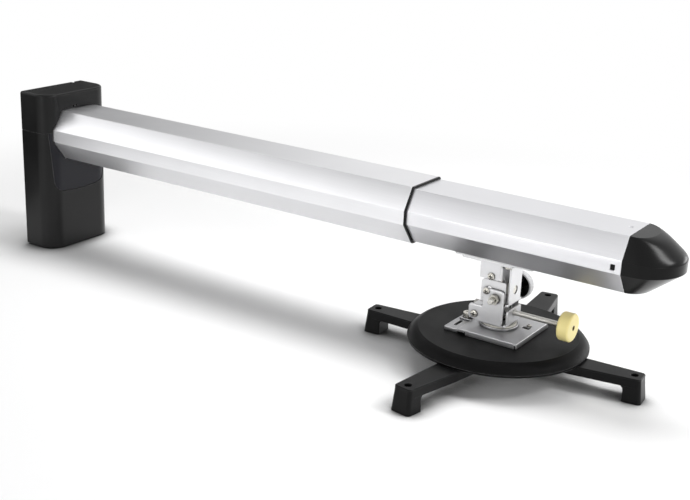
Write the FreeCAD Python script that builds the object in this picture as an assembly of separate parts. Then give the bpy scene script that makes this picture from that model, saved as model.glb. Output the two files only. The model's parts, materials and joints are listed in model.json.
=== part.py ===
import FreeCAD, Part
import math
import os

V = FreeCAD.Vector

# Wall mount for a short-throw projector. Millimetres.
# +X runs out from the wall along the arm, Y across it, Z up.
# The origin is on the wall face of the wall plate, level with the arm's centre line.

# Wall housing
HOUSING_HEIGHT = 210.0
HOUSING_WIDTH = 110.8
HOUSING_DEPTH = 50.3
HOUSING_TOP = 55.6
COVER_WALL = 2.5
COVER_CORNER = 22.0
COVER_EDGE = 3.0
SEAM_HEIGHT = 4.0
SEAM_GAP = 0.5
COVER_ARM_GAP = 1.0
PANEL_TOP_HALF_WIDTH = 49.2
PANEL_LOW_HALF_WIDTH = 44.0
PANEL_SIDE_BOTTOM = -75.4
PANEL_BOTTOM = -80.0
PANEL_CORNER = 16.0
PANEL_BOW_RADIUS = 250.0
PANEL_GAP = 0.5
PANEL_RECESS = 0.7
PANEL_WALL = 2.0
PANEL_LIP = 4.0
TONGUE_HEIGHT = 3.0
TONGUE_WALL = 1.2
KNOCKOUT_CHORD = 88.0
KNOCKOUT_Y = -5.8
KNOCKOUT_DEPTH = 10.0
WINDOW_CROWN = 1.5

# Wall plate
PLATE_THICK = 3.0
PLATE_SIDE_CLEAR = 2.6
PLATE_FOLD = 14.0
PLATE_TAB_DEPTH = 24.0
PLATE_TAB_HALF_WIDTH = 34.0
WALL_SLOT_WIDTH = 8.5
WALL_SLOT_LENGTH = 16.0
WALL_SLOT_SPACING_Y = 60.0
WALL_SLOT_TOP = 43.0
WALL_SLOT_SPACING_Z = 174.0
WINDOW_HALF_WIDTH = 30.0
WINDOW_TOP = -48.0
WINDOW_BOTTOM = -104.0

# Arm section: an eight-sided tube
ARM_HALF_HEIGHT = 32.8
ARM_HALF_WIDTH = 43.3
ARM_TOP_FLAT = 57.0
ARM_BOTTOM_FLAT = 48.0
ARM_FACET_TOP = 8.5
ARM_FACET_BOTTOM = -7.4
ARM_CREASE = 1.2
OUTER_WALL = 2.0
OUTER_START = 9.0
OUTER_END = 591.5
TUBE_GAP = 0.3
INNER_WALL = 1.8
INNER_START = 430.0
INNER_END = 839.5
RING_WIDTH = 2.2
RING_LIP = 8.0
RING_LIP_WALL = 0.7
ARM_LOCK_BACK = 24.0
ARM_LOCK_Y = 12.0

# Arm socket
SOCKET_WALL = 4.0
SOCKET_REACH = 112.0
SOCKET_FIT = 0.1
SOCKET_FLANGE = 4.0
SOCKET_FLANGE_HALF_Y = 46.8
SOCKET_FLANGE_HALF_Z = 35.5
SOCKET_BOLT_Y = 41.0
SOCKET_BOLT_Z = 28.5
TUBE_BOLT_X = 22.0
TUBE_BOLT_Y = 19.0
CABLE_ENTRY_BACK = 12.0
CABLE_ENTRY_FRONT = 31.0
CABLE_HALF_WIDTH = 13.0
CABLE_CORNER = 6.5
CABLE_EXIT_BACK = 772.0
CABLE_EXIT_FRONT = 804.0

# End cap
CAP_SKIRT = 18.0
CAP_SKIRT_WALL = 2.0
CAP_SHELL = 3.0
CAP_REACH = 50.5
CAP_RUN = 13.5
CAP_BAND_HIGH = 6.3
CAP_BAND_LOW = -5.0
CAP_CROWN = (
    (0.4, 44.5, 9.5, 14.0),
    (0.75, 35.5, 6.0, 21.0),
    (0.94, 27.0, 3.5, 26.0),
    (1.0, 19.0, 2.0, 29.0),
)
CAP_KEEL = ((0.5, 33.5, 7.0, -18.5), (1.0, 19.0, 1.0, -30.0))
CLIP_HOLE_LENGTH = 5.0
CLIP_HOLE_HEIGHT = 6.4
CLIP_X_BACK = 8.8
CLIP_Z = -0.5
CLIP_SLACK = 0.3
TOP_HOLE_BACK = 10.0
TOP_HOLE_Y = 2.5
TOP_HOLE_LENGTH = 4.2
TOP_HOLE_WIDTH = 3.8

# Head, measured along the arm
HEAD_X = 695.0
SHEET = 2.0
RAIL_BACK = -50.0
RAIL_FRONT = 43.0
RAIL_HALF_WIDTH = 22.0
RAIL_THICK = 2.0
BACKING_THICK = 3.0
BACKING_HALF_WIDTH = 21.0
BACKING_BACK = -43.0
BACKING_FRONT = 24.0
RAIL_BOLT_BACK = -33.0
RAIL_BOLT_FRONT = 13.5
RAIL_BOLT_BACK_Y = 9.0
RAIL_BOLT_FRONT_Y = 17.0

# Upper bracket
UPPER_BACK = -17.0
UPPER_FRONT = 8.5
UPPER_HALF_WIDTH = 22.0
UPPER_DROP = 23.0
UPPER_WEB_DROP = 19.4
UPPER_FLANGE_CORNER = 4.0
UPPER_RELIEF = 0.8
UPPER_TOP_BACK = -41.0
UPPER_TOP_FRONT = 21.0
UPPER_BEND = 3.0
TONGUE_HALF_WIDTH = 12.0
TONGUE_BELOW_AXIS = 7.5
SPACER_X = -3.0
SPACER_Z = -48.5
SPACER_RADIUS = 3.3

# Roll joint
ROLL_Z = -65.5
ROLL_PIN_RADIUS = 5.0
ROLL_SHANK_RADIUS = 3.0
ROLL_RECESS = 0.7
ROLL_WASHER_RADIUS = 8.0
ROLL_FLANGE_RADIUS = 7.0
ROLL_FLANGE = 1.0
RUNNING_GAP = 0.06
SIDE_GAP = 0.1
ROLL_NUT_THICK = 3.0
ROLL_NUT_AF = 9.0

# Middle yoke
YOKE_BACK = -16.6
YOKE_FLANGE_FRONT = 12.5
YOKE_WEB_BACK = 14.0
YOKE_HALF_WIDTH = 17.0
YOKE_TOP = -54.5
YOKE_FLOOR = -82.0
YOKE_WEB_HALF_WIDTH = 13.5
YOKE_WEB_TOP = -36.4
YOKE_WEB_CORNER = 3.5
FOLD_STEP = 3.5
FOLD_RADIUS = 1.8
LUG_HALF_WIDTH = 6.5
LUG_INSIDE = 8.6
LUG_DEPTH = 23.3

# Tilt joint
TILT_X = 2.4
TILT_Z = -73.6
TILT_SHANK_RADIUS = 3.0
TILT_WASHER = 1.0
TILT_LIMIT = 12.0
ROD_DROP = 17.9
STOP_X = -8.5
STOP_Z = -66.7
STOP_SLOT_SPARE = 1.5

# Lower bracket
LOWER_BACK = -12.5
LOWER_FRONT = 12.5
LOWER_TOP = -63.5
LOWER_BASE = -104.6
END_TAB_BACK = 15.0
END_TAB_HALF_WIDTH = 15.8
END_TAB_TOP = -85.6
SIDE_TAB_BACK = -29.0
SIDE_TAB_TOP = -85.0
TAB_SCREW_X = -21.0
TAB_SCREW_Z = -96.2
ROD_BLOCK_HALF_X = 5.0
ROD_BLOCK_TOP = -86.9
ROD_BLOCK_BOTTOM = -100.0

# Tilt screw with its hand knob
ROD_RADIUS = 3.0
ROD_TAIL = -31.0
KNOB_BACK = 72.8
KNOB_RADIUS = 15.7
KNOB_THICK = 13.6
KNOB_EDGE = 2.2
KNOB_HOLE_RADIUS = 2.7
KNOB_HOLE_DEPTH = 2.5
NUT_HALF_X = 5.0
NUT_HALF_Y = 8.0
NUT_HALF_Z = 5.0
NUT_PIN_RADIUS = 2.5
NUT_PIN_REACH = 12.0
NUT_PIN_GAP = 0.12

# Tilt lock with its hand knob
LOCK_NUT_AF = 10.0
LOCK_NUT_THICK = 5.0
LOCK_STUD_END = 33.0
LOCK_KNOB_START = 34.0
LOCK_KNOB_RADIUS = 15.8
LOCK_KNOB_THICK = 9.0
LOCK_HUB_RADIUS = 5.0
LOCK_SPOKES = 6

# Swivel and quick-release plates
SWIVEL_SHANK_RADIUS = 4.0
SWIVEL_WASHER_RADIUS = 19.5
SWIVEL_WASHER_THICK = 2.2
TURNTABLE_RADIUS = 21.0
SLIDE_TOP = -109.8
SLIDE_SHEET = 1.8
SLIDE_BACK = -29.5
SLIDE_FRONT = 41.0
SLIDE_TAB_BACK = -45.0
SLIDE_TAB_HALF_WIDTH = 9.0
SLIDE_HALF_WIDTH = 39.8
SLIDE_SKIRT_BACK = -20.0
SLIDE_LIP = 5.0
SLIDE_LIP_THICK = 1.4
SLIDE_GAP = 0.2
SLIDE_WINDOW = (24.0, 33.0, 6.5, 13.0)
KEEPER_SCREW_X = 29.0
KEEPER_SCREW_Y = 15.8
KEEPER_RADIUS = 1.4
PLATE_SCREW_RADIUS = 2.5
PLATE_SCREW_END = -113.7
PLATE_SCREW_X = -37.0
PLATE_SCREW_Y = -2.0
RECEIVER_BACK = -47.5
RECEIVER_TRAY_FRONT = -30.5
RECEIVER_FOOT = 24.0
RECEIVER_SLOT = (-41.0, -37.0, -29.0, -11.0)
RECEIVER_NOTCH = 2.8
RECEIVER_SCREW_X = 26.0
RECEIVER_SCREW_Y = 13.5

# Adapter disc
DISC_TOP = -115.8
DISC_FLAT_RADIUS = 88.0
DISC_RADIUS = 99.9
DISC_RIM = -128.4
DISC_EDGE = 3.2
DISC_WALL = 3.0
BOSS_RADIUS = 9.0
BOSS_CIRCLE = 60.0
DISC_RIBS = 8

# Legs, with the place each one is set to
FLOOR = -156.0
LEG_GAP = 0.3
LEG_SHEET = 3.5
LEG_DEPTH = 10.0
LEG_WALL = 2.5
LEG_TIP_HALF_WIDTH = 11.0
LEG_TIP_CORNER = 4.0
LEG_ROOT_HALF_WIDTH = 15.0
LEG_TIP = 9.5
LEG_TAPER_END = 62.0
LEG_LENGTH = 119.0
LEG_HOLE_RADIUS = 4.0
LEG_HOLE_CHAMFER = 0.5
FOOT_FILLET = 5.0
LEG_SLOT_LENGTH = 30.0
LEG_SLOT_END = 8.5
LEG_SLOT_WIDTH = 5.6
LEG_FLARE = 2.6
FOOT_LENGTH = 18.0
LEG_BOLT_RADIUS = 2.5
LEG_ANGLES = (182.9, 260.5, 5.8, 99.1)
LEG_SETTINGS = (0.41, 0.79, 0.5, 0.985)
BOSS_ANGLES = (180.0, 270.0, 0.0, 90.0)


def box(x0, x1, y0, y1, z0, z1):
    """Block between two corners."""
    return Part.makeBox(x1 - x0, y1 - y0, z1 - z0, V(x0, y0, z0))


def rod(start, end, radius):
    """Cylinder between two points."""
    line = end - start
    return Part.makeCylinder(radius, line.Length, start, line)


def on_axis(axis, level, u, v):
    """Point at a level of one axis, with the other two coordinates in X, Y, Z order."""
    if axis == "x":
        return V(level, u, v)
    if axis == "y":
        return V(u, level, v)
    return V(u, v, level)


def corner(before, here, after, radius):
    """Start, middle and end of the arc that rounds one corner."""
    one = (before - here).normalize()
    two = (after - here).normalize()
    half = one.getAngle(two) / 2.0
    run = radius / math.tan(half)
    inward = (one + two).normalize()
    centre = here + inward * (radius / math.sin(half))
    return here + one * run, centre - inward * radius, here + two * run


def outline(points, axis, level):
    """Closed wire through (u, v, radius) corners."""
    spots = [on_axis(axis, level, u, v) for u, v, radius in points]
    count = len(points)
    pieces = []
    for i in range(count):
        radius = points[i][2]
        if radius > 0:
            pieces.append(corner(spots[i - 1], spots[i], spots[(i + 1) % count], radius))
        else:
            pieces.append((spots[i],))
    edges = []
    for i in range(count):
        piece = pieces[i]
        after = pieces[(i + 1) % count]
        if len(piece) == 3:
            edges.append(Part.Arc(*piece).toShape())
        if (after[0] - piece[-1]).Length > 1e-6:
            edges.append(Part.LineSegment(piece[-1], after[0]).toShape())
    return Part.Wire(edges)


def slab(points, axis, low, high):
    """Outline with (u, v, radius) corners, thickened from one level to another."""
    face = Part.Face(outline(points, axis, low))
    return face.extrude(on_axis(axis, high - low, 0, 0))


def sharp(points):
    """Corners with no rounding."""
    return [(u, v, 0) for u, v in points]


def rectangle(u0, u1, v0, v1, radius=0.0):
    """Corners of a rectangle."""
    return [(u0, v0, radius), (u1, v0, radius), (u1, v1, radius), (u0, v1, radius)]


def hexagon(axis, u, v, across, low, high):
    """Six-sided prism with a flat towards each end of the second direction."""
    reach = across / math.sqrt(3.0)
    points = []
    for i in range(6):
        angle = math.radians(60 * i)
        points.append((u + reach * math.cos(angle), v + reach * math.sin(angle), 0))
    return slab(points, axis, low, high)


def round_edges(shape, radius, chosen):
    """Fillet the edges that a test picks."""
    edges = [edge for edge in shape.Edges if chosen(edge)]
    return shape.makeFillet(radius, edges) if edges else shape


def runs_along(edge, direction):
    """True for a straight edge along a direction."""
    if edge.Curve.TypeId != "Part::GeomLine":
        return False
    line = edge.Vertexes[-1].Point - edge.Vertexes[0].Point
    return abs(abs(line.normalize().dot(direction)) - 1) < 1e-6


def facing(shape, position, direction):
    """Move a shape that was drawn along +Z to a place and direction."""
    turn = FreeCAD.Rotation(V(0, 0, 1), direction)
    moved = shape.copy()
    moved.Placement = FreeCAD.Placement(position, turn)
    return moved


def pan_screw(position, direction, head_radius, head_height, radius, length):
    """Pan-head screw with a cross recess; position is under its head, direction points out."""
    dome = head_height * 0.4
    side_top = head_height - dome
    sphere = (head_radius ** 2 + dome ** 2) / (2 * dome)
    half = math.asin(head_radius / sphere) / 2
    crest = V(sphere * math.sin(half), 0, head_height - sphere * (1 - math.cos(half)))
    profile = [V(0, 0, -length), V(radius, 0, -length), V(radius, 0, 0), V(head_radius, 0, 0)]
    profile.append(V(head_radius, 0, side_top))
    lines = [Part.LineSegment(a, b).toShape() for a, b in zip(profile, profile[1:])]
    crown = Part.Arc(profile[-1], crest, V(0, 0, head_height)).toShape()
    axis = Part.LineSegment(V(0, 0, head_height), profile[0]).toShape()
    body = Part.Face(Part.Wire(lines + [crown, axis])).revolve(V(), V(0, 0, 1), 360)
    reach = head_radius * 0.55
    slot = head_radius * 0.14
    deep = head_height * 0.45
    recess = box(-reach, reach, -slot, slot, deep, head_height)
    recess = recess.fuse(box(-slot, slot, -reach, reach, deep, head_height))
    return facing(body.cut(recess), position, direction)


def hex_bolt(position, direction, across, head_height, radius, length):
    """Hex-head bolt; position is under its head, direction points out of the head."""
    head = hexagon("z", 0, 0, across, 0, head_height)
    cone_radius = across * 0.5
    crown = Part.makeCone(cone_radius + head_height, cone_radius, head_height)
    body = head.common(crown).fuse(Part.makeCylinder(radius, length, V(0, 0, -length)))
    return facing(body, position, direction)


def arm_corners(inset):
    """Corners of the arm's section, each side moved in by an inset."""
    half = [(ARM_BOTTOM_FLAT / 2, -ARM_HALF_HEIGHT), (ARM_HALF_WIDTH, ARM_FACET_BOTTOM)]
    half += [(ARM_HALF_WIDTH, ARM_FACET_TOP), (ARM_TOP_FLAT / 2, ARM_HALF_HEIGHT)]
    points = [V(y, z, 0) for y, z in half] + [V(-y, z, 0) for y, z in reversed(half)]
    count = len(points)
    lines = []
    for i in range(count):
        along = (points[(i + 1) % count] - points[i]).normalize()
        inward = V(-along.y, along.x, 0)
        lines.append((points[i] + inward * inset, along))
    moved = []
    for i in range(count):
        start, along = lines[i - 1]
        other, across = lines[i]
        gap = other - start
        share = (gap.x * across.y - gap.y * across.x) / (along.x * across.y - along.y * across.x)
        spot = start + along * share
        moved.append((spot.x, spot.y))
    return moved


def arm_prism(inset, x0, x1, crease=0.0):
    """Solid prism of the arm's section."""
    points = [(y, z, crease) for y, z in arm_corners(inset)]
    return slab(points, "x", x0, x1)


INNER_INSET = OUTER_WALL + TUBE_GAP
HOUSING_BOTTOM = HOUSING_TOP - HOUSING_HEIGHT
INNER_UNDERSIDE = -(ARM_HALF_HEIGHT - INNER_INSET)
RAIL_UNDERSIDE = INNER_UNDERSIDE - RAIL_THICK
ROD_Z = TILT_Z - ROD_DROP
TONGUE_X = HEAD_X + UPPER_FRONT
WEB_BACK_X = HEAD_X + YOKE_WEB_BACK
LOWER_HALF_WIDTH = YOKE_HALF_WIDTH + TILT_WASHER + SHEET


def housing_plan(inset):
    """Plan of the housing: square at the wall, well rounded at the front."""
    side = HOUSING_WIDTH / 2 - inset
    front = HOUSING_DEPTH - inset
    round_off = COVER_CORNER - inset
    return [(0, -side, 0), (front, -side, round_off), (front, side, round_off), (0, side, 0)]


def housing_block(inset, low, high):
    """Housing volume between two heights."""
    return slab(housing_plan(inset), "z", low, high)


def arm_window(gap):
    """Opening in the covers where the arm comes out, with a crowned top."""
    block = arm_prism(-gap, HOUSING_DEPTH - COVER_CORNER - 4, HOUSING_DEPTH + 5, ARM_CREASE + gap)
    half = ARM_TOP_FLAT / 2 + gap
    top = ARM_HALF_HEIGHT + gap - 0.01
    arc = Part.Arc(V(0, -half, top), V(0, 0, top + WINDOW_CROWN), V(0, half, top)).toShape()
    chord = Part.LineSegment(V(0, half, top), V(0, -half, top)).toShape()
    lens = Part.Face(Part.Wire([arc, chord])).extrude(V(HOUSING_DEPTH + 5, 0, 0))
    lens.translate(V(HOUSING_DEPTH - COVER_CORNER, 0, 0))
    return block.fuse(lens)


def make_wall_plate():
    """Folded steel plate that takes the wall bolts."""
    side = HOUSING_WIDTH / 2 - COVER_WALL - PLATE_SIDE_CLEAR
    low = HOUSING_BOTTOM + COVER_WALL
    high = HOUSING_TOP - COVER_WALL
    plate = box(0, PLATE_THICK, -side, side, low, high)
    for sign in (-1, 1):
        edge = sign * side
        inner = sign * (side - PLATE_THICK)
        fold = box(0, PLATE_FOLD, min(edge, inner), max(edge, inner), low + 12, high - 12)
        plate = plate.fuse(fold)
    for level in (low, high - PLATE_THICK):
        tab = rectangle(0, PLATE_TAB_DEPTH, -PLATE_TAB_HALF_WIDTH, PLATE_TAB_HALF_WIDTH)
        tab[1] = tab[1][:2] + (5.0,)
        tab[2] = tab[2][:2] + (5.0,)
        plate = plate.fuse(slab(tab, "z", level, level + PLATE_THICK))
    half_slot = WALL_SLOT_LENGTH / 2
    half_width = WALL_SLOT_WIDTH / 2
    for y in (-WALL_SLOT_SPACING_Y / 2, WALL_SLOT_SPACING_Y / 2):
        for z in (WALL_SLOT_TOP, WALL_SLOT_TOP - WALL_SLOT_SPACING_Z):
            hole = rectangle(y - half_slot, y + half_slot, z - half_width, z + half_width, half_width)
            plate = plate.cut(slab(hole, "x", -1, PLATE_THICK + 1))
    window = rectangle(-WINDOW_HALF_WIDTH, WINDOW_HALF_WIDTH, WINDOW_BOTTOM, WINDOW_TOP, 8.0)
    plate = plate.cut(slab(window, "x", -1, PLATE_THICK + 1))
    for spot in socket_bolt_spots():
        plate = plate.cut(rod(V(-1, *spot), V(PLATE_THICK + 1, *spot), 3.0))
    for y in cover_screw_places():
        plate = plate.cut(rod(V(16, y, low - 1), V(16, y, low + PLATE_THICK + 1), 2.0))
    return plate.removeSplitter()


def socket_bolt_spots():
    """Places of the bolts that hold the arm socket, across and up."""
    return [(y, z) for y in (-SOCKET_BOLT_Y, SOCKET_BOLT_Y) for z in (-SOCKET_BOLT_Z, SOCKET_BOLT_Z)]


def cover_screw_places():
    """Places across of the screws under the lower cover."""
    return (-24.0, 24.0)


def cable_hole(x0, x1):
    """Oval way for cables through the underside of a tube."""
    plan = rectangle(x0, x1, -CABLE_HALF_WIDTH, CABLE_HALF_WIDTH, CABLE_CORNER)
    return slab(plan, "z", -ARM_HALF_HEIGHT - 1, -ARM_HALF_HEIGHT / 2)


def make_arm_socket():
    """Steel spigot on a flange, over which the outer tube is pushed."""
    outer = OUTER_WALL + SOCKET_FIT
    start = PLATE_THICK
    spigot = arm_prism(outer, start, SOCKET_REACH, 1.0)
    wide = SOCKET_FLANGE_HALF_Y
    high = SOCKET_FLANGE_HALF_Z
    flange = rectangle(-wide, wide, -high, high, 6.0)
    body = spigot.fuse(slab(flange, "x", start, start + SOCKET_FLANGE))
    body = body.cut(arm_prism(outer + SOCKET_WALL, start - 1, SOCKET_REACH + 1))
    for spot in socket_bolt_spots():
        body = body.cut(rod(V(start - 1, *spot), V(start + SOCKET_FLANGE + 1, *spot), 3.0))
    for y, z in tube_bolt_spots():
        body = body.cut(rod(V(TUBE_BOLT_X, y, 0), V(TUBE_BOLT_X, y, z * 2), 2.5))
    return body.cut(cable_hole(CABLE_ENTRY_BACK, CABLE_ENTRY_FRONT)).removeSplitter()


def make_socket_bolts():
    """Hex bolts through the socket flange into the wall plate."""
    seat = PLATE_THICK + SOCKET_FLANGE
    bolts = [hex_bolt(V(seat, *spot), V(1, 0, 0), 10.0, 4.0, 3.0, seat) for spot in socket_bolt_spots()]
    return Part.makeCompound(bolts)


def tube_bolt_spots():
    """Places across and up of the bolts that hold the outer tube on its socket."""
    return [(y, z) for y in (-TUBE_BOLT_Y, TUBE_BOLT_Y) for z in (-ARM_HALF_HEIGHT, ARM_HALF_HEIGHT)]


def make_tube_bolts():
    """Low screws through the tube into the socket."""
    length = OUTER_WALL + SOCKET_FIT + SOCKET_WALL
    screws = []
    for y, z in tube_bolt_spots():
        out = V(0, 0, math.copysign(1, z))
        screws.append(pan_screw(V(TUBE_BOLT_X, y, z), out, 4.5, 2.6, 2.5, length))
    return Part.makeCompound(screws)


def make_outer_tube():
    """Fixed eight-sided aluminium tube."""
    tube = arm_prism(0, OUTER_START, OUTER_END, ARM_CREASE)
    tube = tube.cut(arm_prism(OUTER_WALL, OUTER_START - 1, OUTER_END + 1, 0.6))
    tube = tube.cut(arm_prism(OUTER_WALL - RING_LIP_WALL, OUTER_END - RING_LIP, OUTER_END + 1, 0.6))
    for y, z in tube_bolt_spots():
        tube = tube.cut(rod(V(TUBE_BOLT_X, y, 0), V(TUBE_BOLT_X, y, z * 2), 2.5))
    for spot in lock_screw_spots():
        tube = tube.cut(rod(V(*spot, 0), V(*spot, -2 * ARM_HALF_HEIGHT), 2.5))
    return tube.cut(cable_hole(CABLE_ENTRY_BACK, CABLE_ENTRY_FRONT))


def lock_screw_spots():
    """Places along and across of the screws that lock the telescope."""
    return [(OUTER_END - ARM_LOCK_BACK, sign * ARM_LOCK_Y) for sign in (-1, 1)]


def make_mouth_ring():
    """Black plastic ring that trims the mouth of the outer tube."""
    ring = arm_prism(0, OUTER_END, OUTER_END + RING_WIDTH, ARM_CREASE)
    lip = arm_prism(OUTER_WALL - RING_LIP_WALL, OUTER_END - RING_LIP, OUTER_END, 0.6)
    ring = ring.fuse(lip)
    return ring.cut(arm_prism(OUTER_WALL, OUTER_END - RING_LIP - 1, OUTER_END + RING_WIDTH + 1, 0.6))


def make_arm_lock_screws():
    """Screws under the outer tube that pinch the inner one."""
    screws = []
    for x, y in lock_screw_spots():
        screws.append(pan_screw(V(x, y, -ARM_HALF_HEIGHT), V(0, 0, -1), 4.8, 3.0, 2.5, OUTER_WALL))
    return Part.makeCompound(screws)


def cover_shell(low, high, open_low, open_high):
    """Moulded shell of the housing between two heights."""
    outer = housing_block(0, low, high)
    if not open_high:
        outer = round_edges(outer, COVER_EDGE, lambda e: min(v.Z for v in e.Vertexes) > high - 0.01
                            and max(v.X for v in e.Vertexes) > 1)
    inner_low = low - 1 if open_low else low + COVER_WALL
    inner_high = high + 1 if open_high else high - COVER_WALL
    inner = housing_block(COVER_WALL, inner_low, inner_high)
    return outer.cut(inner)


def knockout_groove():
    """Arched line on top of the housing round the cable knock-out."""
    half = KNOCKOUT_CHORD / 2
    radius = (half ** 2 + KNOCKOUT_DEPTH ** 2) / (2 * KNOCKOUT_DEPTH)
    centre = V(KNOCKOUT_DEPTH - radius, KNOCKOUT_Y, HOUSING_TOP - 0.7)
    ring = Part.makeCylinder(radius + 0.5, 2, centre).cut(Part.makeCylinder(radius - 0.5, 2, centre))
    end = KNOCKOUT_Y + half
    band = box(-1, KNOCKOUT_DEPTH + 2, end - KNOCKOUT_CHORD, end, HOUSING_TOP - 2, HOUSING_TOP + 2)
    ring = ring.common(band)
    return ring.fuse(box(-1, 4.5, end - 3, end + 2.5, HOUSING_TOP - 3.2, HOUSING_TOP + 1))


def make_upper_cover():
    """Upper cover, which arches over the arm."""
    cover = cover_shell(SEAM_HEIGHT, HOUSING_TOP, True, False)
    cover = cover.cut(arm_window(COVER_ARM_GAP))
    cover = cover.cut(knockout_groove())
    crest = ARM_HALF_HEIGHT + COVER_ARM_GAP
    for y in (-9.0, -3.5):
        notch = box(HOUSING_DEPTH - COVER_WALL - 1, HOUSING_DEPTH + 1, y - 1.1, y + 1.1, crest, crest + 4.2)
        cover = cover.cut(notch)
    return cover


def panel_outline(grow, top):
    """Shield shape of the panel under the arm, grown all round."""
    low = PANEL_LOW_HALF_WIDTH + grow
    side_bottom = PANEL_SIDE_BOTTOM - grow
    lean = (PANEL_TOP_HALF_WIDTH - PANEL_LOW_HALF_WIDTH) / (SEAM_HEIGHT - PANEL_SIDE_BOTTOM)
    high = low + lean * (top - side_bottom)
    round_off = PANEL_CORNER + grow
    return [(-low, side_bottom, round_off), (0, PANEL_BOTTOM - grow, PANEL_BOW_RADIUS),
            (low, side_bottom, round_off), (high, top, 0), (-high, top, 0)]


def make_lower_cover():
    """Lower cover, open in a U below the arm so that it can be lifted into place."""
    top = SEAM_HEIGHT - SEAM_GAP
    cover = cover_shell(HOUSING_BOTTOM, top, False, True)
    tongue = housing_block(COVER_WALL + 0.15, top - TONGUE_HEIGHT, top + TONGUE_HEIGHT)
    tongue = tongue.cut(housing_block(COVER_WALL + 0.15 + TONGUE_WALL, top - 6, top + 6))
    web = housing_block(COVER_WALL - 0.1, top - TONGUE_HEIGHT, top - 1)
    web = web.cut(housing_block(COVER_WALL + 0.3, top - 6, top + 6))
    cover = cover.fuse(tongue).fuse(web)
    reach = HOUSING_DEPTH - COVER_CORNER
    cover = cover.cut(slab(panel_outline(0, HOUSING_TOP), "x", reach, HOUSING_DEPTH + 5))
    cover = cover.cut(arm_window(COVER_ARM_GAP))
    for y in cover_screw_places():
        spot = V(16, y, HOUSING_BOTTOM)
        cover = cover.cut(rod(spot + V(0, 0, -1), spot + V(0, 0, COVER_WALL + 1), 2.1))
        cover = cover.cut(Part.makeCone(4.2, 2.1, 2.1, spot))
    return cover.removeSplitter()


def make_cover_screws():
    """Countersunk screws under the lower cover."""
    screws = []
    for y in cover_screw_places():
        spot = V(16, y, HOUSING_BOTTOM + 0.1)
        head = Part.makeCone(4.0, 2.0, 2.0, spot)
        shank = Part.makeCylinder(2.0, COVER_WALL + PLATE_THICK + 3, spot)
        slot = box(13, 19, y - 0.5, y + 0.5, HOUSING_BOTTOM, HOUSING_BOTTOM + 1.0)
        screws.append(head.fuse(shank).cut(slot))
    return Part.makeCompound(screws)


def make_front_panel():
    """Shield-shaped insert that closes the U below the arm."""
    reach = HOUSING_DEPTH - COVER_CORNER
    top = SEAM_HEIGHT - SEAM_GAP
    face = housing_block(PANEL_RECESS, PANEL_BOTTOM, top)
    face = face.cut(housing_block(PANEL_RECESS + PANEL_WALL, PANEL_BOTTOM - 1, top + 1))
    face = face.common(slab(panel_outline(-PANEL_GAP, top), "x", reach, HOUSING_DEPTH))
    seat = COVER_WALL + 0.15
    low = PANEL_BOTTOM - PANEL_LIP
    lip = housing_block(seat, low, top - 8)
    lip = lip.cut(housing_block(seat + 1.6, low - 1, top))
    lip = lip.common(slab(panel_outline(PANEL_LIP, top - 8), "x", reach, HOUSING_DEPTH))
    return face.fuse(lip).cut(arm_window(COVER_ARM_GAP)).removeSplitter()


def clip_block(slack, depth):
    """Square block that the cap's clip fills in each side of the inner tube."""
    half = CLIP_HOLE_LENGTH / 2 - slack
    tall = CLIP_HOLE_HEIGHT / 2 - slack
    x = INNER_END - CLIP_X_BACK
    side = ARM_HALF_WIDTH - INNER_INSET
    blocks = []
    for sign in (-1, 1):
        outer = sign * (side - depth)
        inner = sign * (side - INNER_WALL - 0.5)
        square = rectangle(x - half, x + half, CLIP_Z - tall, CLIP_Z + tall, 1.0)
        blocks.append(slab(square, "y", min(outer, inner), max(outer, inner)))
    return blocks[0].fuse(blocks[1])


def make_inner_tube():
    """Sliding eight-sided aluminium tube."""
    tube = arm_prism(INNER_INSET, INNER_START, INNER_END, ARM_CREASE)
    tube = tube.cut(arm_prism(INNER_INSET + INNER_WALL, INNER_START - 1, INNER_END + 1, 0.6))
    tube = tube.cut(clip_block(0, -1))
    x = INNER_END - TOP_HOLE_BACK
    top = ARM_HALF_HEIGHT - INNER_INSET
    half = TOP_HOLE_LENGTH / 2
    wide = TOP_HOLE_WIDTH / 2
    hole = rectangle(x - half, x + half, TOP_HOLE_Y - wide, TOP_HOLE_Y + wide, 0.6)
    tube = tube.cut(slab(hole, "z", top - 4, top + 1))
    for spot in rail_bolt_spots():
        tube = tube.cut(rod(V(*spot, INNER_UNDERSIDE - 1), V(*spot, INNER_UNDERSIDE + 4), 2.0))
    return tube.cut(cable_hole(CABLE_EXIT_BACK, CABLE_EXIT_FRONT))


def nose_ring(side, reach, run, x0, z_back, z_nose):
    """One section of the cap: straight sides and a half-elliptic nose, in a plane that leans along X."""
    fall = (z_nose - z_back) / reach
    middle = V(x0 + run, 0, z_back + fall * run)
    far = middle + V(0, side, 0)
    near = middle - V(0, side, 0)
    tip = V(x0 + reach, 0, z_nose)
    ellipse = Part.Ellipse(far, tip, middle)
    start = ellipse.parameter(far)
    nose = Part.ArcOfEllipse(ellipse, start, start + math.pi).toShape()
    ends = [vertex.Point for vertex in nose.Vertexes]
    first = V(x0, ends[0].y, z_back)
    last = V(x0, ends[-1].y, z_back)
    lines = [Part.LineSegment(first, ends[0]).toShape(), Part.LineSegment(ends[-1], last).toShape()]
    return Part.Wire([lines[0], nose, lines[1], Part.LineSegment(last, first).toShape()])


def cap_section(share, reach, run, z_nose, x0, edge, crest, inset):
    """Section of the cap between the band's edge and the flat crest of the arm's section."""
    side = edge[0] + (crest[0] - edge[0]) * share - inset
    z_back = edge[1] + (crest[1] - edge[1]) * share
    return nose_ring(side, reach - inset, run, x0, z_back, z_nose)


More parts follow.
